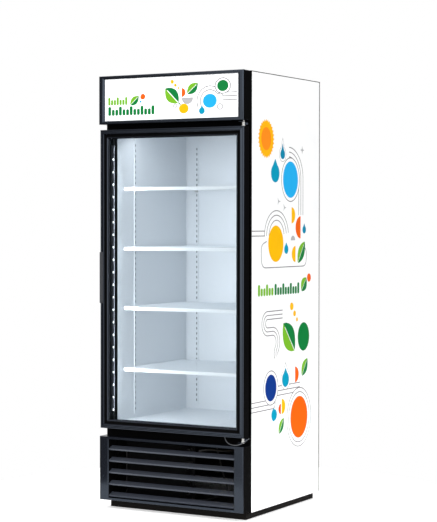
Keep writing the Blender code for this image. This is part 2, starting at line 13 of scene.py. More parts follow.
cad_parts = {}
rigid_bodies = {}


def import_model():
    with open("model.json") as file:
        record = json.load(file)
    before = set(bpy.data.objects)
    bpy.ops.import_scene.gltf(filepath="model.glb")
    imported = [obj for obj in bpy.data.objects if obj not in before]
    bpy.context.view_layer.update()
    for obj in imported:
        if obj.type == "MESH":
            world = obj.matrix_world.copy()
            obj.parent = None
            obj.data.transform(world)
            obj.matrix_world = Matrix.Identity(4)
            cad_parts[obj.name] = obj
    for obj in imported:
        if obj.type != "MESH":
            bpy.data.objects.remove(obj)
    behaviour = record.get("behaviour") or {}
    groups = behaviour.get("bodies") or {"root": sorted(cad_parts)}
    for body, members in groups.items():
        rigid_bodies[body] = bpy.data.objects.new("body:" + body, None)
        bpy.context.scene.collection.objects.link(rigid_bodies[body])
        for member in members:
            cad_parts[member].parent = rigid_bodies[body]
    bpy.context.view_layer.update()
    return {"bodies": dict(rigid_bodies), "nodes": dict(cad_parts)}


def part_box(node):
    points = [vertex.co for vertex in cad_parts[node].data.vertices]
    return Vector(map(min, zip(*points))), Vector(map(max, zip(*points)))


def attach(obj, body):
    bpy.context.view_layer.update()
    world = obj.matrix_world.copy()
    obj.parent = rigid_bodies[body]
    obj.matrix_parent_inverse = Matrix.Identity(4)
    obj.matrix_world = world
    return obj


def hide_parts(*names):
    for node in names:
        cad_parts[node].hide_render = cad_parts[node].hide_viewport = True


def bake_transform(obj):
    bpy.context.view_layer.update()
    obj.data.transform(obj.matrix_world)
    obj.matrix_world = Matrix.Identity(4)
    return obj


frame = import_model()

CABINET = "cabinet"
DOOR = "door"
UP = Vector((0, 0, 1))
CLEAR = 0.0003             # gap between pieces that touch


# ---------------------------------------------------------------- materials
def add_node(tree, kind, inputs=None, **settings):
    """Add a node and return its outputs; an input is given a value, or an output to join to."""
    node = tree.nodes.new("ShaderNode" + kind)
    for name, value in settings.items():
        setattr(node, name, value)
    for socket, value in (inputs or {}).items():
        if isinstance(value, bpy.types.NodeSocket):
            tree.links.new(value, node.inputs[socket])
        else:
            node.inputs[socket].default_value = value
    return node.outputs


def node_material(name):
    made = bpy.data.materials.new(name)
    made.use_nodes = True
    return made, made.node_tree, made.node_tree.nodes["Principled BSDF"]


def surface(name, colour, roughness, metallic=0.0, *, tint=None, mottle=6.0, grain=900.0, bump=0.05,
            spread=0.06, stretch=(1, 1, 1), cells=False, coat=0.0, glow=0.0, gloss_tint=None, gloss=0.5):
    """A finish whose colour, roughness and relief all vary across the surface."""
    made, tree, shader = node_material(name)
    place = add_node(tree, "TexCoord")["Object"]
    place = add_node(tree, "Mapping", {"Vector": place, "Scale": stretch})["Vector"]
    if cells:
        level = add_node(tree, "TexVoronoi", {"Vector": place, "Scale": mottle})["Color"]
    else:
        level = add_node(tree, "TexNoise", {"Vector": place, "Scale": mottle, "Detail": 4.0})["Fac"]
    other = tint or [value * 0.9 for value in colour]
    tones = {"Factor": level, "A": (*colour, 1), "B": (*other, 1)}
    limits = {"Value": level, "To Min": max(roughness - spread, 0.02), "To Max": min(roughness + spread, 1.0)}
    fine = add_node(tree, "TexNoise", {"Vector": place, "Scale": grain, "Detail": 2.0})["Fac"]
    relief = {"Height": fine, "Strength": bump, "Distance": 0.0005}
    tree.links.new(add_node(tree, "Mix", tones, data_type="RGBA")["Result"], shader.inputs["Base Color"])
    tree.links.new(add_node(tree, "MapRange", limits)["Result"], shader.inputs["Roughness"])
    tree.links.new(add_node(tree, "Bump", relief)["Normal"], shader.inputs["Normal"])
    shader.inputs["Metallic"].default_value = metallic
    shader.inputs["Coat Weight"].default_value = coat
    shader.inputs["Coat Roughness"].default_value = 0.15
    shader.inputs["Specular IOR Level"].default_value = gloss
    if gloss_tint:
        shader.inputs["Specular Tint"].default_value = (*gloss_tint, 1)
    if glow:
        shader.inputs["Emission Color"].default_value = (*colour, 1)
        shader.inputs["Emission Strength"].default_value = glow
        made.cycles.emission_sampling = "NONE"
    return made


def clear_glass():
    """Thin pane: it mirrors more at a slant and lets the rest through with a faint cool tint."""
    made, tree, shader = node_material("pane_glass")
    shader.inputs["Base Color"].default_value = (0.02, 0.03, 0.035, 1)
    shader.inputs["Roughness"].default_value = 0.03
    place = add_node(tree, "TexCoord")["Object"]
    streaks = add_node(tree, "TexNoise", {"Vector": place, "Scale": 3.0})["Fac"]
    tones = {"Factor": streaks, "A": (0.966, 0.976, 0.980, 1), "B": (0.972, 0.981, 0.985, 1)}
    tone = add_node(tree, "Mix", tones, data_type="RGBA")["Result"]
    through = add_node(tree, "BsdfTransparent", {"Color": tone})["BSDF"]
    slant = add_node(tree, "LayerWeight", {"Blend": 0.5})["Facing"]
    steep = add_node(tree, "Math", {0: slant, 1: 4.0}, operation="POWER")["Value"]
    mirror = add_node(tree, "MapRange", {"Value": steep, "To Min": 0.025, "To Max": 0.80})["Result"]
    pane = add_node(tree, "MixShader", {"Fac": mirror, 1: through, 2: shader.outputs["BSDF"]})["Shader"]
    tree.links.new(pane, tree.nodes["Material Output"].inputs["Surface"])
    return made


def printed(name, colour):
    """Ink under a clear film, a little uneven."""
    return surface(name, colour, 0.34, tint=[value * 0.93 for value in colour], mottle=14, bump=0.02,
                   gloss=0.08)


BLACK = surface("satin_black_paint", (0.0030, 0.0035, 0.0055), 0.13, 0.0, tint=(0.005, 0.0055, 0.008),
                bump=0.006, grain=900, spread=0.03, gloss_tint=(0.66, 0.80, 1.0))
# A darker, duller copy of the black paint: painted shade on the side faces of black mouldings, on the
# recessed front trim and in the door's inner channel.
SHADED_BLACK = surface("black_paint_shaded_copy", (0.0010, 0.0010, 0.0011), 0.80, tint=(0.0016, 0.0016, 0.0018),
                bump=0.10, gloss=0.03)
# Lighter than the black paint of the grille: painted light, the light that the blades' upper faces catch.
LIT_LOUVRE = surface("louvre_painted_light", (0.027, 0.031, 0.041), 0.38, tint=(0.034, 0.038, 0.050), bump=0.15,
                 gloss_tint=(0.78, 0.88, 1.0))
PLINTH = surface("plinth_paint", (0.0030, 0.0024, 0.0020), 0.75, tint=(0.0050, 0.0040, 0.0034), bump=0.2,
                 grain=500, gloss=0.10)
WHITE = surface("white_enamel", (0.88, 0.885, 0.89), 0.36, tint=(0.86, 0.865, 0.875), bump=0.05, coat=0.15)
LINER = surface("liner_white", (0.66, 0.69, 0.725), 0.38, tint=(0.63, 0.665, 0.705), mottle=3, bump=0.10,
                grain=350)
WIRE = surface("wire_epoxy", (0.86, 0.89, 0.92), 0.25, tint=(0.82, 0.86, 0.90), mottle=60, bump=0.15,
               grain=500)
GALVANISED = surface("galvanised_steel", (0.50, 0.51, 0.52), 0.42, 0.85, tint=(0.36, 0.37, 0.39), mottle=90,
                     cells=True, bump=0.05, spread=0.12)
ZINC = surface("zinc_plate", (0.68, 0.68, 0.66), 0.30, 0.9, tint=(0.58, 0.58, 0.56), mottle=120, bump=0.08)
ALUMINIUM = surface("aluminium_brushed", (0.72, 0.73, 0.74), 0.34, 0.9, tint=(0.62, 0.63, 0.65),
                    stretch=(1, 30, 30), mottle=40, bump=0.08)
COPPER = surface("copper_tube", (0.72, 0.36, 0.22), 0.32, 0.95, tint=(0.55, 0.26, 0.16), mottle=50, bump=0.06)
# Black enamel for the iron parts; the pilaster slot patches and the sheets in the machine space use it as
# painted shade.
BLACK_IRON_AND_SHADE = surface("black_enamel_and_painted_shade", (0.003, 0.003, 0.0035), 0.42, 0.0, tint=(0.006, 0.006, 0.0065), mottle=30,
               bump=0.25, grain=300, gloss=0.15)
PLASTIC = surface("moulded_black", (0.016, 0.018, 0.023), 0.46, tint=(0.022, 0.024, 0.030), bump=0.30,
                  grain=1200)
RUBBER = surface("soft_rubber", (0.014, 0.014, 0.015), 0.72, tint=(0.022, 0.022, 0.023), mottle=25, bump=0.2)
NYLON = surface("pale_nylon", (0.62, 0.62, 0.60), 0.45, tint=(0.54, 0.54, 0.52), mottle=80, bump=0.1)
CABLE = surface("grey_cable", (0.085, 0.09, 0.10), 0.42, tint=(0.06, 0.065, 0.07), mottle=60, bump=0.15)
FOAM = surface("yellow_foam", (0.72, 0.62, 0.36), 0.9, tint=(0.62, 0.52, 0.28), mottle=120, bump=0.8,
               grain=260)
# The board glows though it is no lamp: painted light, the faint lit line between the LEDs.
BOARD = surface("led_board", (0.72, 0.78, 0.86), 0.40, tint=(0.60, 0.66, 0.74), mottle=70, bump=0.1,
                glow=0.35)
LED = surface("led_light", (0.92, 0.96, 1.0), 0.30, tint=(1, 1, 1), mottle=40, glow=9.0)
LAMP = surface("lamp_tube", (0.93, 0.96, 1.0), 0.30, tint=(0.88, 0.92, 1.0), mottle=30, glow=1.2)
SIGN = surface("sign_white", (0.90, 0.91, 0.92), 0.30, tint=(0.88, 0.89, 0.91), mottle=5, coat=0.3, glow=0.30)
GLASS = clear_glass()

INKS = {
    "sun_yellow": (0.90, 0.42, 0.004),
    "amber": (0.86, 0.24, 0.010),
    "orange": (0.78, 0.110, 0.003),
    "rust": (0.66, 0.070, 0.004),
    "gold": (0.86, 0.45, 0.001),
    "teal": (0.0, 0.21, 0.36),
    "aqua": (0.0, 0.28, 0.44),
    "sky": (0.015, 0.38, 0.76),
    "navy": (0.004, 0.034, 0.22),
    "lime": (0.17, 0.43, 0.020),
    "green": (0.003, 0.18, 0.038),
    "line_grey": (0.19, 0.18, 0.185),
    "pale_grey": (0.42, 0.42, 0.43),
    "edge_grey": (0.035, 0.035, 0.037),
}
INK = {name: printed("ink_" + name, colour) for name, colour in INKS.items()}
INK["paper"] = printed("ink_paper", (0.88, 0.885, 0.89))


# ---------------------------------------------------------------- mesh helpers
def add_piece(name, bm, body, materials, nodes=(), smooth=32):
    """Make the object, face its skin outward, put it on its body and hide the frame parts that it replaces.

    A black moulding has its ends, the faces to the left and right, in the darker copy of the paint: painted
    shade.
    """
    bmesh.ops.recalc_face_normals(bm, faces=bm.faces)
    if materials is BLACK:
        materials = [BLACK, SHADED_BLACK]
        for face in bm.faces:
            face.normal_update()
            face.material_index = int(abs(face.normal.x) > 0.9)
    mesh = bpy.data.meshes.new(name)
    bm.to_mesh(mesh)
    bm.free()
    for material in materials if isinstance(materials, (list, tuple)) else [materials]:
        mesh.materials.append(material)
    if smooth:
        mesh.shade_smooth()
        mesh.set_sharp_from_angle(angle=math.radians(smooth))
    piece = bpy.data.objects.new(name, mesh)
    bpy.context.scene.collection.objects.link(piece)
    if smooth:
        even = piece.modifiers.new("flat_faces_stay_flat", "WEIGHTED_NORMAL")
        even.keep_sharp = True
        even.weight = 100
    if body:
        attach(piece, body)
    if nodes:
        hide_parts(*nodes)
    return piece


def fillet(outline, radius, steps=3, closed=True):
    """Round the corners of a 2-D outline; short edges get a smaller radius."""
    points = [Vector(point[:2]) for point in outline]
    radii = [point[2] if len(point) > 2 else radius for point in outline]
    rounded = []
    count = len(points)
    for index, (corner, size) in enumerate(zip(points, radii)):
        if not closed and index in (0, count - 1) or not size:
            rounded.append(corner)
            continue
        before = points[index - 1] - corner
        after = points[(index + 1) % count] - corner
        reach = min(size, before.length * 0.45, after.length * 0.45)
        start = corner + before.normalized() * reach
        stop = corner + after.normalized() * reach
        for step in range(steps + 1):
            t = step / steps
            rounded.append(start * (1 - t) ** 2 + corner * 2 * t * (1 - t) + stop * t**2)
    return rounded


def join_loops(bm, loops, closed=False, cap=True):
    """Skin a row of vertex loops of equal length."""
    count = len(loops[0])
    for near, far in zip(loops, loops[1:] + loops[:1] if closed else loops[1:]):
        for index in range(count):
            after = (index + 1) % count
            bm.faces.new((near[index], near[after], far[after], far[index]))
    if cap and not closed:
        bm.faces.new(loops[0])
        bm.faces.new(loops[-1][::-1])


def rect_loop(bm, rect, inset_x, inset_z, y, radius=0.0, steps=4):
    """A rectangle in the XZ plane, drawn in from rect, with round corners if asked."""
    left, right, low, high = rect
    corners = [
        (left + inset_x, low + inset_z),
        (right - inset_x, low + inset_z),
        (right - inset_x, high - inset_z),
        (left + inset_x, high - inset_z),
    ]
    if radius:
        corners = fillet(corners, radius, steps)
    return [bm.verts.new((x, y, z)) for x, z in corners]


def ring(name, rect, section, body, material, nodes=(), squeeze=1.0, smooth=32):
    """A mitred rectangular frame in one piece; section is a closed outline of (inset, y)."""
    bm = bmesh.new()
    loops = [rect_loop(bm, rect, inset, inset * squeeze, y) for inset, y in section]
    join_loops(bm, loops, closed=True)
    return add_piece(name, bm, body, material, nodes, smooth)


def bar(name, rect, section, side, body, material, nodes=()):
    """One mitred bar of such a frame: side 0 is the bottom, then right, top and left."""
    bm = bmesh.new()
    ends = ([], [])
    for inset, y in section:
        left, right, low, high = rect
        corners = [
            Vector((left + inset, y, low + inset)),
            Vector((right - inset, y, low + inset)),
            Vector((right - inset, y, high - inset)),
            Vector((left + inset, y, high - inset)),
        ]
        start = corners[side]
        stop = corners[(side + 1) % 4]
        shift = (stop - start).normalized() * CLEAR
        ends[0].append(bm.verts.new(start + shift))
        ends[1].append(bm.verts.new(stop - shift))
    join_loops(bm, list(ends))
    return add_piece(name, bm, body, material, nodes)


def tub(name, rect, radius, wall, front, back, cove, body, material, nodes=()):
    """A pressed tray open to the front, with round corners and a coved back edge."""
    bm = bmesh.new()
    loops = [
        rect_loop(bm, rect, 0, 0, back, radius + wall),
        rect_loop(bm, rect, 0, 0, front, radius + wall),
        rect_loop(bm, rect, wall, wall, front, radius),
    ]
    floor = back - wall
    for step in range(5):
        angle = math.pi / 2 * step / 4
        inset = wall + cove * (1 - math.cos(angle))
        loops.append(rect_loop(bm, rect, inset, inset, floor - cove * (1 - math.sin(angle)), radius))
    join_loops(bm, loops)
    return add_piece(name, bm, body, material, nodes)


def solid_box(bm, low, high, bevel=0.0):
    """Add a box, with rounded edges if asked."""
    low, high = Vector(low), Vector(high)
    made = bmesh.ops.create_cube(bm, size=1)["verts"]
    size = high - low
    place = Matrix.Translation((low + high) / 2) @ Matrix.Diagonal((*size, 1))
    bmesh.ops.transform(bm, matrix=place, verts=made)
    if bevel:
        edges = {edge for vert in made for edge in vert.link_edges}
        bmesh.ops.bevel(bm, geom=list(edges), offset=min(bevel, min(size) * 0.45), segments=2, profile=0.5,
                        affect="EDGES", clamp_overlap=True)


def boxes(name, shapes, body, material, nodes=(), bevel=0.0):
    bm = bmesh.new()
    for low, high in shapes:
        solid_box(bm, low, high, bevel)
    return add_piece(name, bm, body, material, nodes)


def turned(bm, profile, centre, axis, segments=24):
    """Turn (radius, height) points about an axis; a profile that leaves the axis is a closed tube."""
    spin = UP.rotation_difference(Vector(axis)).to_matrix().to_4x4()
    place = Matrix.Translation(centre) @ spin
    loops = []
    for radius, height in profile:
        count = segments if radius > 1e-6 else 1
        angles = [2 * math.pi * index / segments for index in range(count)]
        loops.append([bm.verts.new(place @ Vector((radius * math.cos(a), radius * math.sin(a), height)))
                      for a in angles])
    hollow = all(len(loop) > 1 for loop in loops)
    for near, far in zip(loops, loops[1:] + loops[:1] if hollow else loops[1:]):
        for index in range(segments):
            after = (index + 1) % segments
            if len(near) == 1:
                bm.faces.new((near[0], far[after], far[index]))
            elif len(far) == 1:
                bm.faces.new((near[index], near[after], far[0]))
            else:
                bm.faces.new((near[index], near[after], far[after], far[index]))


def turned_piece(name, profile, centre, axis, body, material, nodes=(), segments=24):
    bm = bmesh.new()
    turned(bm, profile, centre, axis, segments)
    return add_piece(name, bm, body, material, nodes)


def tube(bm, path, radius, sides=8):
    """Sweep a circle along a path of points, with capped ends."""
    path = [Vector(point) for point in path]
    loops = []
    side = None
    for index, point in enumerate(path):
        before = path[max(index - 1, 0)]
        after = path[min(index + 1, len(path) - 1)]
        heading = (after - before).normalized()
        if side is None:
            side = heading.orthogonal().normalized()
        side = (side - heading * side.dot(heading)).normalized()
        over = heading.cross(side)
        turns = [2 * math.pi * step / sides for step in range(sides)]
        loops.append([bm.verts.new(point + (side * math.cos(turn) + over * math.sin(turn)) * radius)
                      for turn in turns])
    join_loops(bm, loops)


def curve_through(points, per_span=4):
    """Points along a Catmull-Rom curve."""
    points = [Vector(point) for point in points]
    ends = [points[0] * 2 - points[1], *points, points[-1] * 2 - points[-2]]
    route = []
    for a, b, c, d in zip(ends, ends[1:], ends[2:], ends[3:]):
        for step in range(per_span):
            t = step / per_span
            route.append(0.5 * (2 * b + (c - a) * t + (2 * a - 5 * b + 4 * c - d) * t**2
                                + (3 * b - a - 3 * c + d) * t**3))
    return [*route, points[-1]]


def screws(name, places, axis, body, material=None, radius=0.0042, height=0.0018):
    """Low pan heads with a socket, each seated at its place and standing out along axis."""
    head = [
        (0, 0), (radius, 0), (radius, height * 0.35), (radius * 0.86, height * 0.8), (radius * 0.55, height),
        (radius * 0.40, height), (radius * 0.34, height * 0.35), (0, height * 0.3),
    ]
    bm = bmesh.new()
    for place in places:
        turned(bm, head, place, axis, 12)
    return add_piece(name, bm, body, material or ZINC)


# ---------------------------------------------------------------- flat work: printed and punched sheets
def disc(x, y, radius, steps=40, wide=1.0):
    """A disc; wide makes it an upright or a flat oval."""
    turns = [2 * math.pi * i / steps for i in range(steps)]
    return [(x + wide * radius * math.cos(turn), y + radius * math.sin(turn)) for turn in turns]


def half_disc(x, y, radius, facing, steps=18):
    """Half a disc whose round side faces an angle in degrees."""
    return arc_path(x, y, radius, facing - 90, facing + 90, steps)


def drop(x, y, radius, tip, steps=22):
    """A water drop: a round bottom drawn up to a tip."""
    gap = math.radians(32)
    turns = [math.pi / 2 + gap + 2 * (math.pi - gap) * i / steps for i in range(steps + 1)]
    return [(x, y + tip), *((x + radius * math.cos(a), y + radius * math.sin(a)) for a in turns)]


def half_leaf(base, tip, width, steps=10):
    """One side of a pointed leaf between two points."""
    base, tip = Vector(base), Vector(tip)
    along = tip - base
    across = Vector((-along.y, along.x)).normalized() * width
    return [tuple(base + along * (i / steps) + across * math.sin(math.pi * i / steps) ** 0.8)
            for i in range(steps + 1)]


def leaf(base, tip, width):
    return [*half_leaf(base, tip, width), *half_leaf(base, tip, -width)[-2:0:-1]]


def star(x, y, outer, inner, points, wide=1.0):
    return [
        (x + wide * (inner if i % 2 else outer) * math.cos(math.pi * i / points),
         y + (inner if i % 2 else outer) * math.sin(math.pi * i / points))
        for i in range(2 * points)
    ]


def stroke(path, width):
    """A line of constant width as an outline."""
    path = [Vector(point[:2]) for point in path]
    left, right = [], []
    for index, point in enumerate(path):
        heading = (path[min(index + 1, len(path) - 1)] - path[max(index - 1, 0)]).normalized()
        out = Vector((-heading.y, heading.x)) * width / 2
        left.append(tuple(point + out))
        right.append(tuple(point - out))
    return [*left, *right[::-1]]


def arc_path(x, y, radius, start, stop, steps=20):
    angles = [math.radians(start + (stop - start) * i / steps) for i in range(steps + 1)]
    return [(x + radius * math.cos(a), y + radius * math.sin(a)) for a in angles]


def oblong(x, y, half_width, half_height, steps=5):
    """A rectangle with round ends."""
    radius = min(half_width, half_height)
    corners = [(x - half_width, y - half_height), (x + half_width, y - half_height),
               (x + half_width, y + half_height), (x - half_width, y + half_height)]
    return [tuple(point) for point in fillet(corners, radius * 0.9, steps)]


def turning(loop):
    """Twice the signed area: positive when the outline runs counter-clockwise."""
    return sum(a[0] * b[1] - b[0] * a[1] for a, b in zip(loop, [*loop[1:], loop[0]]))


def sheet_mesh(outline, shapes, place, depth):
    """A flat sheet with shapes on it; place turns (u, v, inward) into a point.

    shapes holds (outline, material index), the last one on top. Index None cuts a hole.
    """
    points, faces = [], []
    for loop in [outline, *(shape for shape, _ in shapes)]:
        if turning(loop) < 0:
            loop = loop[::-1]
        faces.append(list(range(len(points), len(points) + len(loop))))
        points.extend(Vector(point[:2]) for point in loop)
    flat, _, triangles, _, _, owners = delaunay_2d_cdt(points, [], faces, 1, 1e-7)
    bm = bmesh.new()
    front = [bm.verts.new(place(point.x, point.y, 0)) for point in flat]
    back = [bm.verts.new(place(point.x, point.y, depth)) for point in flat]
    rim = {}
    for triangle, owner in zip(triangles, owners):
        look = shapes[max(owner) - 1][1] if max(owner, default=0) else 0
        if 0 not in owner or look is None:
            continue
        bm.faces.new([front[index] for index in triangle]).material_index = look
        bm.faces.new([back[index] for index in reversed(triangle)])
        for one, other in zip(triangle, [*triangle[1:], triangle[0]]):
            key = (min(one, other), max(one, other))
            rim[key] = rim.get(key, 0) + 1
    for (one, other), count in rim.items():
        if count == 1:
            bm.faces.new((front[one], front[other], back[other], back[one]))
    bmesh.ops.delete(bm, geom=[vert for vert in bm.verts if not vert.link_faces], context="VERTS")
    return bm


def sheet_piece(name, outline, shapes, place, depth, body, materials, nodes=()):
    return add_piece(name, sheet_mesh(outline, shapes, place, depth), body, materials, nodes, smooth=20)


def rectangle(left, right, low, high, radius=0.0, steps=4):
    corners = [(left, low), (right, low), (right, high), (left, high)]
    return [tuple(point) for point in fillet(corners, radius, steps)] if radius else corners


def extruded(name, profile, low, high, axis, body, material, nodes=(), smooth=32):
    """A profile pushed along X (profile in y, z) or Z (profile in x, y)."""
    bm = bmesh.new()
    loops = []
    for station in (low, high):
        if axis == "x":
            loops.append([bm.verts.new((station, a, b)) for a, b in profile])
        else:
            loops.append([bm.verts.new((a, b, station)) for a, b in profile])
    join_loops(bm, loops)
    return add_piece(name, bm, body, material, nodes, smooth)


def span(node):
    low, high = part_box(node)
    return Vector(low), Vector(high)


def front_rect(node):
    low, high = span(node)
    return low.x, high.x, low.z, high.z


def repaint(material, *nodes):
    """A CAD node whose shape is right keeps it and gets a full material."""
    for node in nodes:
        for entry in frame["nodes"][node].material_slots:
            entry.material = material


# ---------------------------------------------------------------- camera and studio
def add_camera():
    data = bpy.data.cameras.new("photo_camera")
    data.lens = 112.49
    data.sensor_width = 36
    camera = bpy.data.objects.new("photo_camera", data)
    camera.location = (3.8353, -6.6587, 1.3288)
    camera.rotation_euler = (math.radians(90 - 1.3785), -0.0012, math.radians(29.686))
    bpy.context.scene.collection.objects.link(camera)
    bpy.context.scene.camera = camera


def add_area_light(name, place, target, width, height, power, colour=(1, 1, 1), body=None):
    data = bpy.data.lights.new(name, "AREA")
    data.shape = "RECTANGLE"
    data.size = width
    data.size_y = height
    data.energy = power
    data.color = colour
    light = bpy.data.objects.new(name, data)
    light.location = place
    light.rotation_euler = (Vector(target) - Vector(place)).to_track_quat("-Z", "Y").to_euler()
    bpy.context.scene.collection.objects.link(light)
    if body:
        light.parent = frame["bodies"][body]
        light.matrix_parent_inverse = frame["bodies"][body].matrix_world.inverted()
    return light


def add_levels(tree, source, limit, stops):
    """Plain grey levels for a value from -limit to limit; stops are (value, level)."""
    place = add_node(tree, "MapRange", {"Value": source, "From Min": -limit, "From Max": limit})["Result"]
    ramp = tree.nodes.new("ShaderNodeValToRGB")
    tree.links.new(place, ramp.inputs["Fac"])
    elements = ramp.color_ramp.elements
    for index, (value, level) in enumerate(stops):
        position = (value / limit + 1) / 2
        stop = elements[index] if index < 2 else elements.new(position)
        stop.position = position
        stop.color = (level, level, level, 1)
    return ramp.outputs["Color"]


# Light round the studio by azimuth in degrees, 0 in front of the door and 90 on its right.
STUDIO_ROUND = (
    (-180, 0.34), (-168, 0.30), (-130, 0.22), (-60, 0.22), (-42, 0.02), (-33.5, 0.03), (-30.9, 0.24),
    (-28.2, 0.85), (-26, 1.00), (20, 1.00), (58, 0.75), (95, 0.30), (125, 0.03), (162, 0.03),
    (172, 0.30), (180, 0.34),
)
# The same light by the height of the direction, then the sky light that is added overhead.
STUDIO_HEIGHT = ((-1, 0.10), (-0.2, 0.20), (-0.09, 0.9), (0.35, 1.0), (0.6, 0.45), (1, 0.35))
STUDIO_SKY = ((-1, 0.0), (0.25, 0.0), (0.7, 0.28), (1, 0.34))
STUDIO_STRENGTH = 3.0


def add_world():
    """A white studio, bright in front and dark behind, with a plain white backdrop for the camera."""
    world = bpy.data.worlds.new("studio")
    bpy.context.scene.world = world
    world.use_nodes = True
    tree = world.node_tree
    tree.nodes.clear()
    place = add_node(tree, "TexCoord")["Generated"]
    parts = add_node(tree, "SeparateXYZ", {"Vector": place})
    ahead = add_node(tree, "Math", {0: parts["Y"], 1: -1}, operation="MULTIPLY")["Value"]
    turn = add_node(tree, "Math", {0: parts["X"], 1: ahead}, operation="ARCTAN2")["Value"]
    degrees = add_node(tree, "Math", {0: turn}, operation="DEGREES")["Value"]
    levels = {0: add_levels(tree, degrees, 180, STUDIO_ROUND),
              1: add_levels(tree, parts["Z"], 1, STUDIO_HEIGHT),
              2: add_levels(tree, parts["Z"], 1, STUDIO_SKY)}
    light = add_node(tree, "Math", levels, operation="MULTIPLY_ADD")["Value"]
    studio = add_node(tree, "Background", {"Color": light, "Strength": STUDIO_STRENGTH})["Background"]
    backdrop = add_node(tree, "Background", {"Color": (1, 1, 1, 1)})["Background"]
    seen = add_node(tree, "LightPath")["Is Camera Ray"]
    both = add_node(tree, "MixShader", {"Fac": seen, 1: studio, 2: backdrop})["Shader"]
    add_node(tree, "OutputWorld", {"Surface": both})


FLOOR_RADIUS = 1.25
FLOOR_TOP = -0.0002
FLOOR_UNDERSIDE = -0.02


def add_floor():
    """A pale round floor, undercut so that its rim is out of sight."""
    bm = bmesh.new()
    outline = [(0, FLOOR_UNDERSIDE), (FLOOR_RADIUS * 0.8, FLOOR_UNDERSIDE),
               (FLOOR_RADIUS, FLOOR_TOP), (0, FLOOR_TOP)]
    turned(bm, outline, (0, 0, 0), UP, 64)
    mesh = bpy.data.meshes.new("floor")
    bm.to_mesh(mesh)
    bm.free()
    paint = surface("floor_paint", (0.92, 0.92, 0.92), 0.85, tint=(0.90, 0.90, 0.90), mottle=0.6, glow=0.43)
    mesh.materials.append(paint)
    floor = bpy.data.objects.new("floor", mesh)
    bpy.context.scene.collection.objects.link(floor)


add_camera()
add_world()
add_floor()
bpy.context.scene.view_settings.view_transform = "Standard"
COLD_WHITE = (0.97, 0.985, 1.0)
add_area_light("side", (4.6, -0.9, 2.4), (0.3, 0, 0.9), 2.6, 2.6, 62)
add_area_light("overhead", (0.2, -0.4, 4.6), (0, 0, 1.0), 2.4, 2.4, 90)
for number, height in enumerate((0.65, 1.065, 1.48), 1):
    add_area_light(f"strip_light_{number}", (-0.3262, -0.3365, height), (0.33, 0.16, height), 0.006, 0.40,
                   1.5, COLD_WHITE, DOOR)
add_area_light("interior_top", (0.0, -0.20, 1.735), (0.0, 0.02, 1.0), 0.55, 0.08, 1.0, COLD_WHITE, CABINET)


# ---------------------------------------------------------------- prints
def to_faces(order, shapes):
    """Turn (outline, ink name) pairs into (outline, material index) pairs."""
    return [(outline, order.index(ink) if ink else None) for outline, ink in shapes]


def ring_shapes(x, y, radius, width, ink, wide=1.0):
    return [(disc(x, y, radius, 40, wide), ink), (disc(x, y, radius - width, 40, wide), "paper")]


def two_tone_leaf(base, tip, width, vein=0.0022):
    middle = tuple(b + (t - b) * 0.86 for b, t in zip(base, tip))
    return [
        (leaf(base, tip, width), "lime"),
        (half_leaf(base, tip, -width), "green"),
        (stroke([base, middle], vein), "paper"),
    ]


def bead_row(left, right, low, tall, count, ink):
    """A row of plain upright pills, every third one tall: a stand-in for a line of print."""
    pitch = (right - left) / count
    row = []
    for index in range(count):
        height = tall if index % 3 == 0 else tall * 0.68
        row.append((oblong(left + pitch * (index + 0.5), low + height / 2, pitch * 0.40, height / 2), ink))
    return row


def outlined_drop(x, y, radius, tip, ink, gap=0.012):
    return [
        (drop(x, y, radius + gap, tip + gap * 2.2), "line_grey"),
        (drop(x, y, radius + gap - 0.0022, tip + gap * 2.2 - 0.005), "paper"),
        (drop(x, y, radius, tip), ink),
    ]


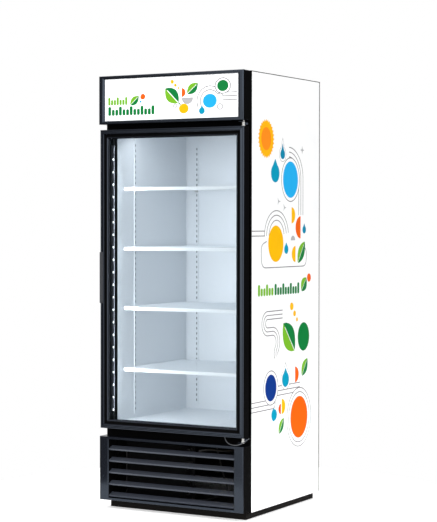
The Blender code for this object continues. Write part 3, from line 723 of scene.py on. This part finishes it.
def side_print():
    """Plain discs, drops, leaves and pipe lines on the side panel, in (y, z)."""
    thick = 0.0044
    wide = 0.90
    shapes = []
    for radius in (0.144, 0.122, 0.100):
        arch = [*arc_path(0.058, 1.529, radius, 90, 0), (0.058 + radius, 1.36)]
        shapes.append((stroke(arch, thick), "line_grey"))
    for radius in (0.118, 0.097, 0.074):
        shapes.append((stroke(arc_path(-0.064, 1.262, radius, 178, 8), thick), "line_grey"))
    for level in (1.287, 1.265):
        shapes.append((stroke([(-0.31, level), (-0.178, level)], thick), "line_grey"))
    cloud = [(-0.160, 1.240), (-0.211, 1.225), (-0.211, 1.121), (0.238, 1.121), (0.238, 1.205),
             (0.180, 1.215)]
    shapes.append((stroke(fillet(cloud, 0.045, 8, closed=False), thick), "line_grey"))
    for shift in (0, 0.018, 0.036):
        bends = [(-0.003, 0.923 - shift), *arc_path(-0.150, 0.868, 0.055 - shift, 90, 270),
                 *arc_path(-0.100, 0.780, 0.033 + shift, 90, -40),
                 *arc_path(-0.036, 0.727, 0.050 - shift, 140, 205)]
        shapes.append((stroke(bends, thick), "line_grey"))
    for shift in (0, 0.021, 0.042):
        pipe = [(-0.31, 0.520 - shift), (-0.075, 0.520 - shift), (-0.075, 0.576 - shift),
                (0.174, 0.576 - shift)]
        shapes.append((stroke(fillet(pipe, 0.05, 8, closed=False), thick), "line_grey"))
    for radius in (0.140, 0.120):
        shapes += ring_shapes(0.166, 0.414, radius, thick, "line_grey", wide)
    shapes += ring_shapes(0.074, 1.524, 0.103, thick, "line_grey", wide)
    shapes += ring_shapes(-0.117, 0.574, 0.080, thick, "line_grey", wide)
    shapes += [
        (star(-0.166, 1.703, 0.090, 0.079, 28, 0.86), "sun_yellow"),
        (disc(-0.166, 1.703, 0.052, 40, wide), "amber"),
        (star(0.193, 1.665, 0.020, 0.007, 4), "pale_grey"),
        (disc(0.074, 1.524, 0.084, 40, wide), "sky"),
        (disc(-0.071, 1.229, 0.083, 40, wide), "gold"),
        (half_disc(0.085, 1.359, 0.038, 0), "gold"),
        (half_disc(0.178, 1.303, 0.052, 180), "orange"),
        (half_disc(0.100, 1.243, 0.022, 90), "pale_grey"),
        (half_disc(0.126, 1.179, 0.038, 180), "gold"),
        (drop(-0.078, 1.550, 0.042, 0.066), "aqua"),
        (drop(0.216, 1.292, 0.018, 0.030), "teal"),
        (drop(0.033, 1.202, 0.021, 0.032), "aqua"),
        (disc(0.211, 0.789, 0.067, 40, wide), "green"),
        (disc(-0.117, 0.574, 0.061, 40, wide), "navy"),
        (half_disc(0.125, 0.616, 0.037, 0), "orange"),
        (disc(0.166, 0.414, 0.098, 40, wide), "orange"),
        (half_disc(-0.010, 0.479, 0.036, 0), "gold"),
        (half_disc(-0.018, 0.469, 0.024, 180), "rust"),
        (half_disc(-0.082, 0.448, 0.030, 180), "aqua"),
        (half_disc(-0.083, 0.448, 0.026, 0), "aqua"),
    ]
    for x, y, radius in ((0.089, 0.936, 0.018), (0.118, 0.902, 0.014), (0.143, 0.873, 0.010)):
        shapes.append((disc(x, y, radius, 20), "gold"))
    shapes += outlined_drop(-0.005, 1.639, 0.023, 0.051, "teal")
    shapes += outlined_drop(0.028, 0.601, 0.035, 0.054, "aqua")
    shapes += two_tone_leaf((0.150, 1.136), (0.222, 1.236), 0.032)
    shapes += two_tone_leaf((0.120, 0.728), (0.004, 0.862), 0.058, 0.004)
    shapes += two_tone_leaf((0.194, 0.604), (0.252, 0.684), 0.028)
    shapes += two_tone_leaf((-0.038, 0.355), (0.010, 0.425), 0.022)
    shapes += two_tone_leaf((0.188, 1.004), (0.240, 1.066), 0.030)
    shapes.append((disc(0.267, 1.065, 0.020, 24), "orange"))
    for x, y in ((-0.045, 1.422), (0.013, 1.394)):
        shapes.append((star(x, y, 0.020, 0.005, 3), "pale_grey"))
    shapes += bead_row(-0.245, -0.092, 0.994, 0.052, 6, "lime")
    shapes += bead_row(-0.085, 0.168, 0.994, 0.052, 10, "green")
    return shapes


def header_print():
    """The same decor on the lit sign, in (x, z)."""
    thick = 0.0040
    wide = 1.15
    shapes = []
    for radius in (0.049, 0.066):
        arch = arc_path(0.206, 1.866, radius, 205, 38)
        shapes.append((stroke([*arch, (0.275, 1.900 if radius < 0.06 else 1.884)], thick), "line_grey"))
    for level in (1.901, 1.885, 1.868):
        shapes.append((stroke([(0.272, level), (0.345, level)], thick), "line_grey"))
    shapes += ring_shapes(0.272, 1.931, 0.036, thick, "line_grey", wide)
    shapes += ring_shapes(0.258, 1.839, 0.014, 0.0036, "line_grey", wide)
    shapes += ring_shapes(0.026, 1.850, 0.009, 0.0030, "line_grey", wide)
    for x, y, radius in ((0.010, 1.958, 0.009), (0.027, 1.942, 0.007), (0.043, 1.929, 0.005)):
        shapes.append((disc(x, y, radius, 20), "gold"))
    shapes += two_tone_leaf((0.044, 1.862), (-0.026, 1.930), 0.032, 0.0034)
    shapes.append((stroke([(0.042, 1.864), (0.054, 1.854)], 0.005), "green"))
    shapes += two_tone_leaf((0.088, 1.901), (0.144, 1.947), 0.022, 0.0020)
    shapes += [
        (half_disc(0.060, 1.908, 0.020, 0), "orange"),
        (half_disc(0.090, 1.885, 0.030, 270), "pale_grey"),
        (disc(0.071, 1.836, 0.022, 40, wide), "gold"),
        (disc(0.206, 1.866, 0.031, 40, wide), "sky"),
        (drop(0.165, 1.823, 0.015, 0.024), "aqua"),
        (disc(0.272, 1.931, 0.025, 40, wide), "green"),
        (disc(-0.146, 1.897, 0.013, 24), "orange"),
        (disc(-0.158, 1.875, 0.005, 16), "sky"),
    ]
    shapes += two_tone_leaf((-0.214, 1.860), (-0.168, 1.901), 0.018, 0.0018)
    shapes += bead_row(-0.336, -0.228, 1.863, 0.036, 7, "lime")
    shapes += bead_row(-0.336, -0.082, 1.815, 0.041, 13, "green")
    return shapes


INK_ORDER = ["paper", *INKS]
INK_LIST = [INK[name] for name in INK_ORDER]


# ---------------------------------------------------------------- cabinet
def make_side_panels():
    low, high = span("side_panel_right")
    outline = rectangle(low.y, high.y, low.z, high.z)
    edge = 0.0075
    border = [
        (rectangle(low.y, high.y, high.z - edge / 2, high.z), "edge_grey"),
        (rectangle(high.y - edge, high.y, low.z, high.z), "edge_grey"),
    ]
    shapes = to_faces(INK_ORDER, [*side_print(), *border])
    for where, inward in (("right", -1), ("left", 1)):
        low, high = span(f"side_panel_{where}")
        outer = low.x if inward > 0 else high.x
        sheet_piece(f"side_skin_{where}", outline, shapes, lambda u, v, d: (outer + inward * d, u, v),
                    high.x - low.x, CABINET, INK_LIST, [f"side_panel_{where}"])


def hole_rows(low, high, count, inset):
    """Places of evenly spaced fasteners round a rectangle."""
    places = []
    for index in range(count):
        t = index / (count - 1)
        x = low[0] + inset + (high[0] - low[0] - 2 * inset) * t
        places += [(x, low[1] + inset), (x, high[1] - inset)]
    steps = round((high[1] - low[1]) / 0.28)
    for index in range(1, steps):
        y = low[1] + inset + (high[1] - low[1] - 2 * inset) * index / steps
        places += [(low[0] + inset, y), (high[0] - inset, y)]
    return places


def make_top_and_back():
    low, high = span("top_panel")
    height = 0.0006
    bm = bmesh.new()
    solid_box(bm, low, (high.x, high.y, high.z - height), 0.0004)
    solid_box(bm, (low.x + 0.02, low.y + 0.03, high.z - height),
              (high.x - 0.02, high.y - 0.03, high.z - 0.0002), 0.0002)
    add_piece("top_skin", bm, CABINET, WHITE, ["top_panel"])
    places = hole_rows((low.x, low.y), (high.x, high.y), 4, 0.010)
    screws("top_screws", [(x, y, high.z - height) for x, y in places], UP, CABINET, height=height)

    low, high = span("back_panel")
    sheet = low.y + 0.0007
    bm = bmesh.new()
    solid_box(bm, low, (high.x, sheet, high.z), 0.0002)
    for number in range(5):
        middle = low.z + (high.z - low.z) * (number + 0.5) / 5
        rect = (-0.32, 0.32, middle - 0.125, middle + 0.125)
        join_loops(bm, [rect_loop(bm, rect, inset, inset, y, 0.03)
                        for inset, y in ((0, sheet), (0.0008, sheet + 0.0004), (0.0022, sheet + 0.0006))])
    add_piece("back_skin", bm, CABINET, GALVANISED, ["back_panel"])
    places = hole_rows((low.x, low.z), (high.x, high.z), 4, 0.012)
    screws("back_screws", [(x, sheet, z) for x, z in places], (0, 1, 0), CABINET, height=height)

    low, high = span("rear_grille")
    holes = []
    for row in range(8):
        for side in (-1, 1):
            holes.append((oblong(side * 0.14, 0.091 + 0.028 * row, 0.11, 0.006), None))
    holes.append((rectangle(-0.330, -0.290, 0.050, 0.090, 0.003), None))
    face = high.y - height
    sheet_piece("rear_vent_sheet", rectangle(low.x, high.x, low.z, high.z), holes,
                lambda u, v, d: (u, face - d, v), face - low.y, CABINET, GALVANISED,
                ["rear_grille"])
    places = hole_rows((low.x, low.z), (high.x, high.z), 3, 0.010)
    screws("rear_vent_screws", [(x, face, z) for x, z in places], (0, 1, 0), CABINET, height=height)


def make_base():
    low, high = span("base_frame")
    bm = bmesh.new()
    rail = 0.040
    solid_box(bm, (low.x, low.y, high.z - 0.005), high, 0.0015)
    walls = [
        (low, (high.x, low.y + rail, high.z - 0.0053)),
        ((low.x, high.y - rail, low.z), (high.x, high.y, high.z - 0.0053)),
        ((low.x, low.y + rail + CLEAR, low.z), (low.x + rail, high.y - rail - CLEAR, high.z - 0.0053)),
        ((high.x - rail, low.y + rail + CLEAR, low.z), (high.x, high.y - rail - CLEAR, high.z - 0.0053)),
    ]
    for one, other in walls:
        solid_box(bm, one, other, 0.003)
    add_piece("plinth_rails", bm, CABINET, PLINTH, ["base_frame"])
    repaint(GALVANISED, "condensate_pan")
    repaint(BLACK_IRON_AND_SHADE, "fan_shroud", "compartment_floor")
    repaint(FOAM, "insulation_foam")


def make_front_frame():
    low, high = span("front_frame")
    openings = [
        (rectangle(-0.3295, 0.3295, 0.398, 1.725, 0.006), None),
        (rectangle(-0.3295, 0.3295, 0.055, 0.320, 0.004), None),
    ]
    bm = sheet_mesh(rectangle(low.x, high.x, low.z, high.z), openings, lambda u, v, d: (u, low.y + d, v),
                    high.y - low.y)
    rim = [edge for edge in bm.edges if all(abs(vert.co.x) > high.x - 1e-4 for vert in edge.verts)
           and abs(edge.verts[0].co.z - edge.verts[1].co.z) > 0.5]
    bmesh.ops.bevel(bm, geom=rim, offset=0.0016, segments=2, profile=0.5, affect="EDGES")
    # The whole trim is in the darker copy of the black paint: painted shade in the recess behind the door and
    # the grille.
    add_piece("front_trim", bm, CABINET, SHADED_BLACK, ["front_frame"])


def make_header():
    low, high = span("header_box")
    tub("header_housing", front_rect("header_box"), 0.003, 0.002, low.y, high.y, 0.002, CABINET, BLACK,
        ["header_box"])
    low, high = span("header_bezel")
    wide, tall = 0.030, 0.0155
    front = low.y
    profile = fillet(
        [(0, high.y), (0, front + 0.0045), (0.0013, front + 0.0013), (0.0045, front), (wide - 0.0100, front),
         (wide - 0.0075, front + 0.0012), (wide, front + 0.0050), (wide, high.y)],
        0.0016,
    )
    ring("header_moulding", front_rect("header_bezel"), profile, CABINET, BLACK,
         ["header_bezel"], squeeze=tall / wide)
    low, high = span("sign_panel")
    sheet_piece("sign_sheet", rectangle(low.x, high.x, low.z, high.z), to_faces(INK_ORDER, header_print()),
                lambda u, v, d: (u, low.y + d, v), high.y - low.y, CABINET, [SIGN, *INK_LIST[1:]],
                ["sign_panel"])
    low, high = span("header_lamp")
    centre = (low + high) / 2
    half = (high.x - low.x) / 2
    radius = (high.z - low.z) / 2
    profile = [(0, -half), (radius, -half), (radius, -half + 0.018), (radius - 0.001, -half + 0.019),
               (radius - 0.001, half - 0.019), (radius, half - 0.018), (radius, half), (0, half)]
    turned_piece("header_tube", profile, centre, (1, 0, 0), CABINET, LAMP, ["header_lamp"])
    holders = [((x - 0.006, -0.3290, 1.940), (x + 0.006, -0.3160, 1.970)) for x in (-0.300, 0.300)]
    boxes("header_tube_holders", holders, CABINET, NYLON, bevel=0.002)
    boxes("header_driver", [((-0.09, -0.345, 1.785), (0.09, -0.320, 1.815))], CABINET, PLASTIC,
          bevel=0.003)


def make_lower_grille():
    low, high = span("grille_frame")
    wide, tall = 0.0495, 0.012
    profile = fillet(
        [(0, high.y), (0, low.y + 0.003), (0.003, low.y), (wide - 0.003, low.y), (wide, low.y + 0.003),
         (wide, high.y)],
        0.0014,
    )
    ring("grille_surround", front_rect("grille_frame"), profile, CABINET, BLACK,
         ["grille_frame"], squeeze=tall / wide)
    for number in range(1, 6):
        low, high = span(f"louvre_{number}")
        level = low.z + 0.004
        lip = low.y
        section = fillet(
            [(lip + 0.0045, level - 0.004), (lip, level + 0.0035), (lip + 0.0275, level + 0.0165),
             (lip + 0.0275, level + 0.0145), (lip + 0.0040, level + 0.001), (lip + 0.0064, level - 0.004)],
            0.0009,
        )
        extruded(f"louvre_blade_{number}", section, low.x, high.x, "x", CABINET, LIT_LOUVRE,
                 [f"louvre_{number}"])


# ---------------------------------------------------------------- cold compartment
def make_liner():
    low, high = span("inner_liner")
    tub("liner_shell", front_rect("inner_liner"), 0.006, 0.002, low.y, high.y, 0.006, CABINET, LINER,
        ["inner_liner"])
    repaint(LINER, "header_wall", "evaporator_cover")


SHELVES = {"shelf_1": "shelf_one", "shelf_2": "shelf_two", "shelf_3": "shelf_three", "shelf_4": "shelf_four"}
SLOT_PITCH = 0.0254


def make_pilasters():
    """Slotted strips with hooked clips under each shelf."""
    tops = [span(node)[1].z for node in SHELVES]
    for side, where in ((-1, "left"), (1, "right")):
        for row in ("front", "rear"):
            low, high = span(f"pilaster_{row}_{where}")
            thick = 0.0025
            if row == "front":
                wall = high.x if side > 0 else low.x
                left, right = -0.158, -0.138
                place = (lambda u, v, d, at=wall, s=side: (at - s * (thick - d), u, v))
            else:
                left, right = sorted((side * 0.258, side * 0.278))
                place = (lambda u, v, d, at=high.y: (u, at - thick + d, v))
            middle = (left + right) / 2
            count = int((high.z - low.z) / SLOT_PITCH) - 1
            # The slots are not cut: each is a dark patch on the strip, painted shade for the hole behind it.
            slots = [(rectangle(middle - 0.0022, middle + 0.0022, low.z + SLOT_PITCH * (n + 0.7),
                                low.z + SLOT_PITCH * (n + 0.7) + 0.012), 1) for n in range(count)]
            sheet_piece(f"pilaster_strip_{row}_{where}", rectangle(left, right, low.z, high.z), slots, place,
                        thick, CABINET, [LINER, BLACK_IRON_AND_SHADE], [f"pilaster_{row}_{where}"])
            bm = bmesh.new()
            for top in tops:
                under = top - 0.0060
                hook = fillet([(0, under - 0.0100), (0.0035, under - 0.0100), (0.0112, under - 0.0028),
                               (0.0112, under), (0, under)], 0.0012)
                loops = [[bm.verts.new(place(middle + shift, z, -reach)) for reach, z in hook]
                         for shift in (-0.007, 0.007)]
                join_loops(bm, loops)
            add_piece(f"shelf_clips_{row}_{where}", bm, CABINET, ZINC)


def make_shelves():
    """Welded wire racks: wires front to back, rods across, a flat lip and a rear bar."""
    wire = 0.0018
    bays = 26
    for number, (node, body) in enumerate(SHELVES.items(), 1):
        low, high = span(node)
        level = high.z - wire
        bm = bmesh.new()
        for index in range(bays + 1):
            x = low.x + 0.002 + (high.x - low.x - 0.004) * index / bays
            nose = low.y + 0.0034
            route = fillet([(high.y - 0.002, level), (nose, level), (nose, high.z - 0.013)], 0.004, 3,
                           closed=False)
            tube(bm, [(x, y, z) for y, z in route], wire, 6)
        for y in (low.y + 0.10, low.y + 0.25, low.y + 0.40, high.y - 0.02):
            rod = level - wire - 0.0014
            tube(bm, [(low.x + 0.001, y, rod), (high.x - 0.001, y, rod)], 0.0014, 6)
        add_piece(f"rack_wires_{number}", bm, body, WIRE, [node])
        shapes = [
            ((low.x, low.y, high.z - 0.016), (high.x, low.y + 0.0014, high.z - 0.0008)),
            ((low.x, high.y - 0.0018, high.z - 0.0055), (high.x, high.y, high.z)),
            ((low.x, low.y + 0.002, high.z - 0.0055), (low.x + 0.0018, high.y - 0.002, high.z)),
            ((high.x - 0.0018, low.y + 0.002, high.z - 0.0055), (high.x, high.y - 0.002, high.z)),
        ]
        boxes(f"rack_edge_{number}", shapes, body, WIRE, bevel=0.0006)


def finned_coil(name, node, rows, columns, step, material, pipes):
    """Tube and fin coil: thin fins along X with return bends at both ends."""
    low, high = span(node)
    bm = bmesh.new()
    end, half_fin, radius, bulge = 0.014, 0.0003, 0.0045, 0.003
    count = int((high.x - low.x - 2 * end) / step)
    for index in range(count):
        x = low.x + end + step * (index + 0.5)
        solid_box(bm, (x - half_fin, low.y, low.z), (x + half_fin, high.y, high.z))
    add_piece(name + "_fins", bm, CABINET, material, [node])
    bm = bmesh.new()
    left, right = low.x + 0.008, high.x - 0.008
    gap = (high.z - low.z) / rows
    for column in range(columns):
        y = low.y + (high.y - low.y) * (column + 0.5) / columns
        for row in range(rows):
            z = low.z + gap * (row + 0.5)
            tube(bm, [(left, y, z), (right, y, z)], radius)
        for row in range(rows - 1):
            x, out = (right, bulge) if row % 2 else (left, -bulge)
            turns = [math.pi * i / 6 for i in range(7)]
            tube(bm, [(x + out * math.sin(turn), y, low.z + gap * (row + 1 - math.cos(turn) / 2))
                      for turn in turns], radius)
    add_piece(name + "_tubes", bm, CABINET, pipes)


def make_cold_unit():
    finned_coil("evaporator", "evaporator_coil", 5, 4, 0.006, ALUMINIUM, COPPER)
    repaint(PLASTIC, "evaporator_fan_motor", "evaporator_fan_blade", "thermostat_dial", "light_switch")


# ---------------------------------------------------------------- condensing unit
def make_condensing_unit():
    finned_coil("condenser", "condenser_coil", 9, 2, 0.005, BLACK_IRON_AND_SHADE, BLACK_IRON_AND_SHADE)
    repaint(BLACK_IRON_AND_SHADE, "condenser_fan_motor")
    repaint(ALUMINIUM, "condenser_fan_blade")
    low, high = span("compressor")
    centre = Vector(((low.x + high.x) / 2, (low.y + high.y) / 2, low.z))
    radius = (high.x - low.x) / 2
    height = high.z - low.z
    body = fillet(
        [(0, 0.012), (radius * 0.62, 0.012), (radius * 0.90, 0.030), (radius * 0.90, height * 0.48),
         (radius, height * 0.49), (radius, height * 0.53), (radius * 0.90, height * 0.54),
         (radius * 0.90, height * 0.78), (radius * 0.5, height), (0, height)],
        0.016, 5, closed=False,
    )
    turned_piece("compressor_shell", body, centre, UP, CABINET, BLACK_IRON_AND_SHADE, ["compressor"], 40)
    feet = [(centre + Vector((x - 0.014, y - 0.014, 0)), centre + Vector((x + 0.014, y + 0.014, 0.012)))
            for x in (-0.055, 0.055) for y in (-0.055, 0.055)]
    boxes("compressor_feet", feet, CABINET, RUBBER, bevel=0.003)
    boxes("relay_cover", [(centre + Vector((-0.104, -0.030, 0.06)), centre + Vector((-0.078, 0.030, 0.125)))],
          CABINET, PLASTIC, bevel=0.004)
    boxes("control_box", [((-0.300, 0.250, 0.080), (0.030, 0.330, 0.330))], CABINET, BLACK_IRON_AND_SHADE,
          bevel=0.003)
    low, high = span("compartment_floor")
    # Black sheets inside the side walls of the machine space: painted shade, so that it looks dark through
    # the louvres.
    shade_sheets = [((side * 0.3780 - 0.0008, -0.300, high.z + CLEAR), (side * 0.3780 + 0.0008, 0.376, 0.340))
              for side in (-1, 1)]
    boxes("compartment_shade_sheets", shade_sheets, CABINET, BLACK_IRON_AND_SHADE, bevel=0.0003)
    bm = bmesh.new()
    runs = [
        [(0.075, -0.24, 0.28), (0.11, -0.22, 0.285), (0.15, -0.12, 0.27), (0.185, -0.02, 0.262),
         (0.20, 0.03, 0.22)],
        [(0.05, -0.262, 0.060), (0.085, -0.25, 0.055), (0.10, -0.10, 0.052), (0.06, 0.05, 0.056),
         (0.02, 0.085, 0.12), (-0.02, 0.09, 0.25)],
        [(0.24, 0.14, 0.18), (0.25, 0.17, 0.20), (0.22, 0.20, 0.25), (0.18, 0.21, 0.31)],
    ]
    for run in runs:
        tube(bm, curve_through(run), 0.0042)
    add_piece("refrigerant_tubes", bm, CABINET, RUBBER)


def make_gland():
    low, high = span("power_gland")
    centre = Vector(((low.x + high.x) / 2, high.y, (low.z + high.z) / 2))
    depth = high.y - low.y
    profile = [(0.017, -depth), (0.017, -0.0030), (0.026, -0.0028), (0.026, -0.0012), (0.0245, 0),
               (0.0080, 0), (0.0062, -0.0012), (0.0060, -depth * 0.5), (0.0060, -depth)]
    turned_piece("supply_gland", profile, centre, (0, 1, 0), CABINET, PLASTIC,
                 ["power_gland"], 28)


# ---------------------------------------------------------------- door
# Section of the door frame: inset from its outer edge, and y.
DOOR_SECTION = [
    (0, -0.3235), (0, -0.3287), (0, -0.3292), (0, -0.3694), (0.0012, -0.3720), (0.0038, -0.3730),
    (0.0060, -0.3730), (0.0070, -0.3722), (0.0090, -0.3722), (0.0100, -0.3730), (0.0150, -0.3730),
    (0.0165, -0.3738), (0.0190, -0.3738), (0.0208, -0.3726), (0.0215, -0.3700), (0.0270, -0.3688),
    (0.0345, -0.3686), (0.0352, -0.3698), (0.0368, -0.3701), (0.0410, -0.3672), (0.0410, -0.3648),
    (0.0290, -0.3648), (0.0290, -0.3436), (0.0410, -0.3436), (0.0410, -0.3235),
]


def make_door_bars():
    """Three mitred bars, and the latch stile with a notch for the pull."""
    low, _ = span("door_stile_left")
    _, high = span("door_stile_right")
    rect = (low.x, high.x, span("door_rail_bottom")[0].z, span("door_rail_top")[1].z)
    section = fillet(DOOR_SECTION, 0.0012, 2)
    mouldings = []
    for side, node in enumerate(("door_rail_bottom", "door_stile_right", "door_rail_top")):
        mouldings.append(bar(node + "_moulding", rect, section, side, DOOR, BLACK, [node]))
    notch_low, notch_high = span("door_handle")
    depth = notch_high.x - rect[0] + CLEAR
    cut = [(max(inset, depth) if y < -0.3290 else inset, y) for inset, y in DOOR_SECTION]
    bm = bmesh.new()
    loops = []
    under, over = notch_low.z - CLEAR, notch_high.z + CLEAR
    for z, slope, outline in (
        (rect[2] + CLEAR, 1, DOOR_SECTION), (under, 0, DOOR_SECTION), (under, 0, cut),
        (over, 0, cut), (over, 0, DOOR_SECTION), (rect[3] - CLEAR, -1, DOOR_SECTION),
    ):
        loops.append([bm.verts.new((rect[0] + inset, y, z + slope * inset)) for inset, y in outline])
    join_loops(bm, loops)
    bmesh.ops.remove_doubles(bm, verts=bm.verts, dist=1e-6)
    node = "door_stile_left"
    mouldings.append(add_piece(node + "_moulding", bm, DOOR, BLACK, [node]))
    # Faces of the channel between the bead and the inner lip go in the darker copy of the paint: painted
    # shade.
    channel_start, channel_end, channel_front = 0.0212, 0.0350, -0.366
    for moulding in mouldings:
        for face in moulding.data.polygons:
            x, y, z = face.center
            inset = min(x - rect[0], rect[1] - x, z - rect[2], rect[3] - z)
            if y < channel_front and channel_start < inset < channel_end:
                face.material_index = 1


def side_rect(bm, y0, y1, z0, z1, x, radius):
    corners = fillet([(y0, z0), (y1, z0), (y1, z1), (y0, z1)], radius, 4)
    return [bm.verts.new((x, y, z)) for y, z in corners]


def make_door_handle():
    """A recessed pull, open toward the latch side."""
    low, high = span("door_handle")
    y0, y1, z0, z1 = low.y, high.y, low.z, high.z
    pocket = (-0.3560, -0.3320, 0.962, 1.178)
    steps = [
        (y0, y1, z0, z1, high.x, 0.002),
        (y0, y1, z0, z1, low.x + 0.0012, 0.003),
        (y0 + 0.0010, y1 - 0.0004, z0 + 0.0010, z1 - 0.0010, low.x, 0.003),
        (pocket[0] - 0.0012, pocket[1] + 0.0008, pocket[2] - 0.0012, pocket[3] + 0.0012, low.x, 0.006),
        (*pocket, low.x + 0.0012, 0.006),
        (*pocket, -0.3655, 0.006),
        (pocket[0] + 0.0015, pocket[1] - 0.0015, pocket[2] + 0.0015, pocket[3] - 0.0015, -0.3640, 0.005),
    ]
    bm = bmesh.new()
    join_loops(bm, [side_rect(bm, *step) for step in steps])
    add_piece("door_pull", bm, DOOR, PLASTIC, ["door_handle"])


def make_door_seal():
    low, high = span("door_gasket")
    back, front = high.y, low.y
    section = [(0, back), (0.0004, back - 0.0030), (0.0034, back - 0.0045), (0.0004, back - 0.0060),
               (0, front), (0.0130, front), (0.0126, back - 0.0060), (0.0096, back - 0.0045),
               (0.0126, back - 0.0030), (0.0130, back)]
    ring("door_seal", front_rect("door_gasket"), fillet(section, 0.0008, 2), DOOR, RUBBER,
         ["door_gasket"])


LED_PITCH = 0.058


def make_led_strip():
    low, high = span("led_channel")
    wall = 0.0008
    channel = [
        (high.x, low.y), (low.x, low.y), (low.x, high.y), (high.x, high.y), (high.x, high.y - wall),
        (low.x + wall, high.y - wall), (low.x + wall, low.y + wall), (high.x, low.y + wall),
    ]
    extruded("light_channel", fillet(channel, 0.0003, 1), low.z, high.z, "z", DOOR, PLASTIC,
             ["led_channel"])
    middle = (low.y + high.y) / 2
    board = ((low.x + 0.0012, middle - 0.0018, low.z + 0.004),
             (low.x + 0.0024, middle + 0.0018, high.z - 0.004))
    boxes("light_board", [board], DOOR, BOARD, bevel=0.0003)
    base = low.x + 0.0026
    bm = bmesh.new()
    dome = [(0, 0), (0.0046, 0), (0.0046, 0.0012), (0.0040, 0.0034), (0.0022, 0.0052), (0, 0.0058)]
    count = int((high.z - low.z - 0.012) / LED_PITCH) + 1
    for index in range(count):
        turned(bm, dome, (base, middle, low.z + 0.006 + LED_PITCH * index), (1, 0, 0), 12)
    add_piece("light_lenses", bm, DOOR, LED)


def make_door_glass():
    repaint(GLASS, "glass_outer", "glass_inner")
    repaint(PLASTIC, "glass_spacer")


def make_hinges():
    """Bracket plates on the cabinet, the stepped collars that stand on them, and the pins."""
    plate = 0.0035
    for where in ("bottom", "top"):
        low, high = span(f"hinge_bracket_{where}")
        flat, upright = (low.z, low.z + plate), (low.z + plate + CLEAR, high.z)
        if where == "top":
            flat, upright = (high.z - plate, high.z), (low.z, high.z - plate - CLEAR)
        shapes = [((low.x, low.y, flat[0]), (high.x, high.y, flat[1])),
                  ((low.x, high.y - plate, upright[0]), (high.x, high.y, upright[1]))]
        boxes(f"hinge_plate_{where}", shapes, CABINET, BLACK, [f"hinge_bracket_{where}"],
              bevel=0.0010)
        low, high = span(f"hinge_bush_{where}")
        pin_low, pin_high = span(f"hinge_pin_{where}")
        centre = Vector(((low.x + high.x) / 2, (low.y + high.y) / 2, low.z))
        bore = (pin_high.x - pin_low.x) / 2 + CLEAR
        wide = (high.x - low.x) / 2
        tall = high.z - low.z
        collar = [(bore, 0), (wide * 0.78, 0), (wide * 0.82, tall * 0.06), (wide * 0.82, tall * 0.24),
                  (wide * 0.60, tall * 0.30), (wide * 0.56, tall * 0.94), (wide * 0.52, tall), (bore, tall)]
        turned_piece(f"hinge_collar_{where}", collar, centre, UP, CABINET, NYLON,
                     [f"hinge_bush_{where}"])
    repaint(ZINC, "hinge_pin_bottom", "hinge_pin_top", "closer_cartridge")


LEAD_ROUTE = [
    (0.2700, -0.3450, 0.3717), (0.2725, -0.3465, 0.3620), (0.2860, -0.3520, 0.3470),
    (0.3090, -0.3600, 0.3395), (0.3350, -0.3665, 0.3390), (0.3550, -0.3680, 0.3430),
    (0.3685, -0.3655, 0.3490), (0.3758, -0.3550, 0.3550), (0.3768, -0.3370, 0.3610),
    (0.3755, -0.3125, 0.3650),
]


def make_door_lead():
    """The light strip's lead, which leaves the bottom rail and goes into the cabinet."""
    bm = bmesh.new()
    tube(bm, curve_through(LEAD_ROUTE, 5), 0.0021, 10)
    piece = add_piece("door_lead_sleeve", bm, None, CABLE, ["door_lead"])
    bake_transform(piece)


make_side_panels()
make_top_and_back()
make_base()
make_front_frame()
make_header()
make_lower_grille()
make_liner()
make_pilasters()
make_shelves()
make_cold_unit()
make_condensing_unit()
make_gland()
make_door_bars()
make_door_handle()
make_door_seal()
make_led_strip()
make_door_glass()
make_hinges()
make_door_lead()
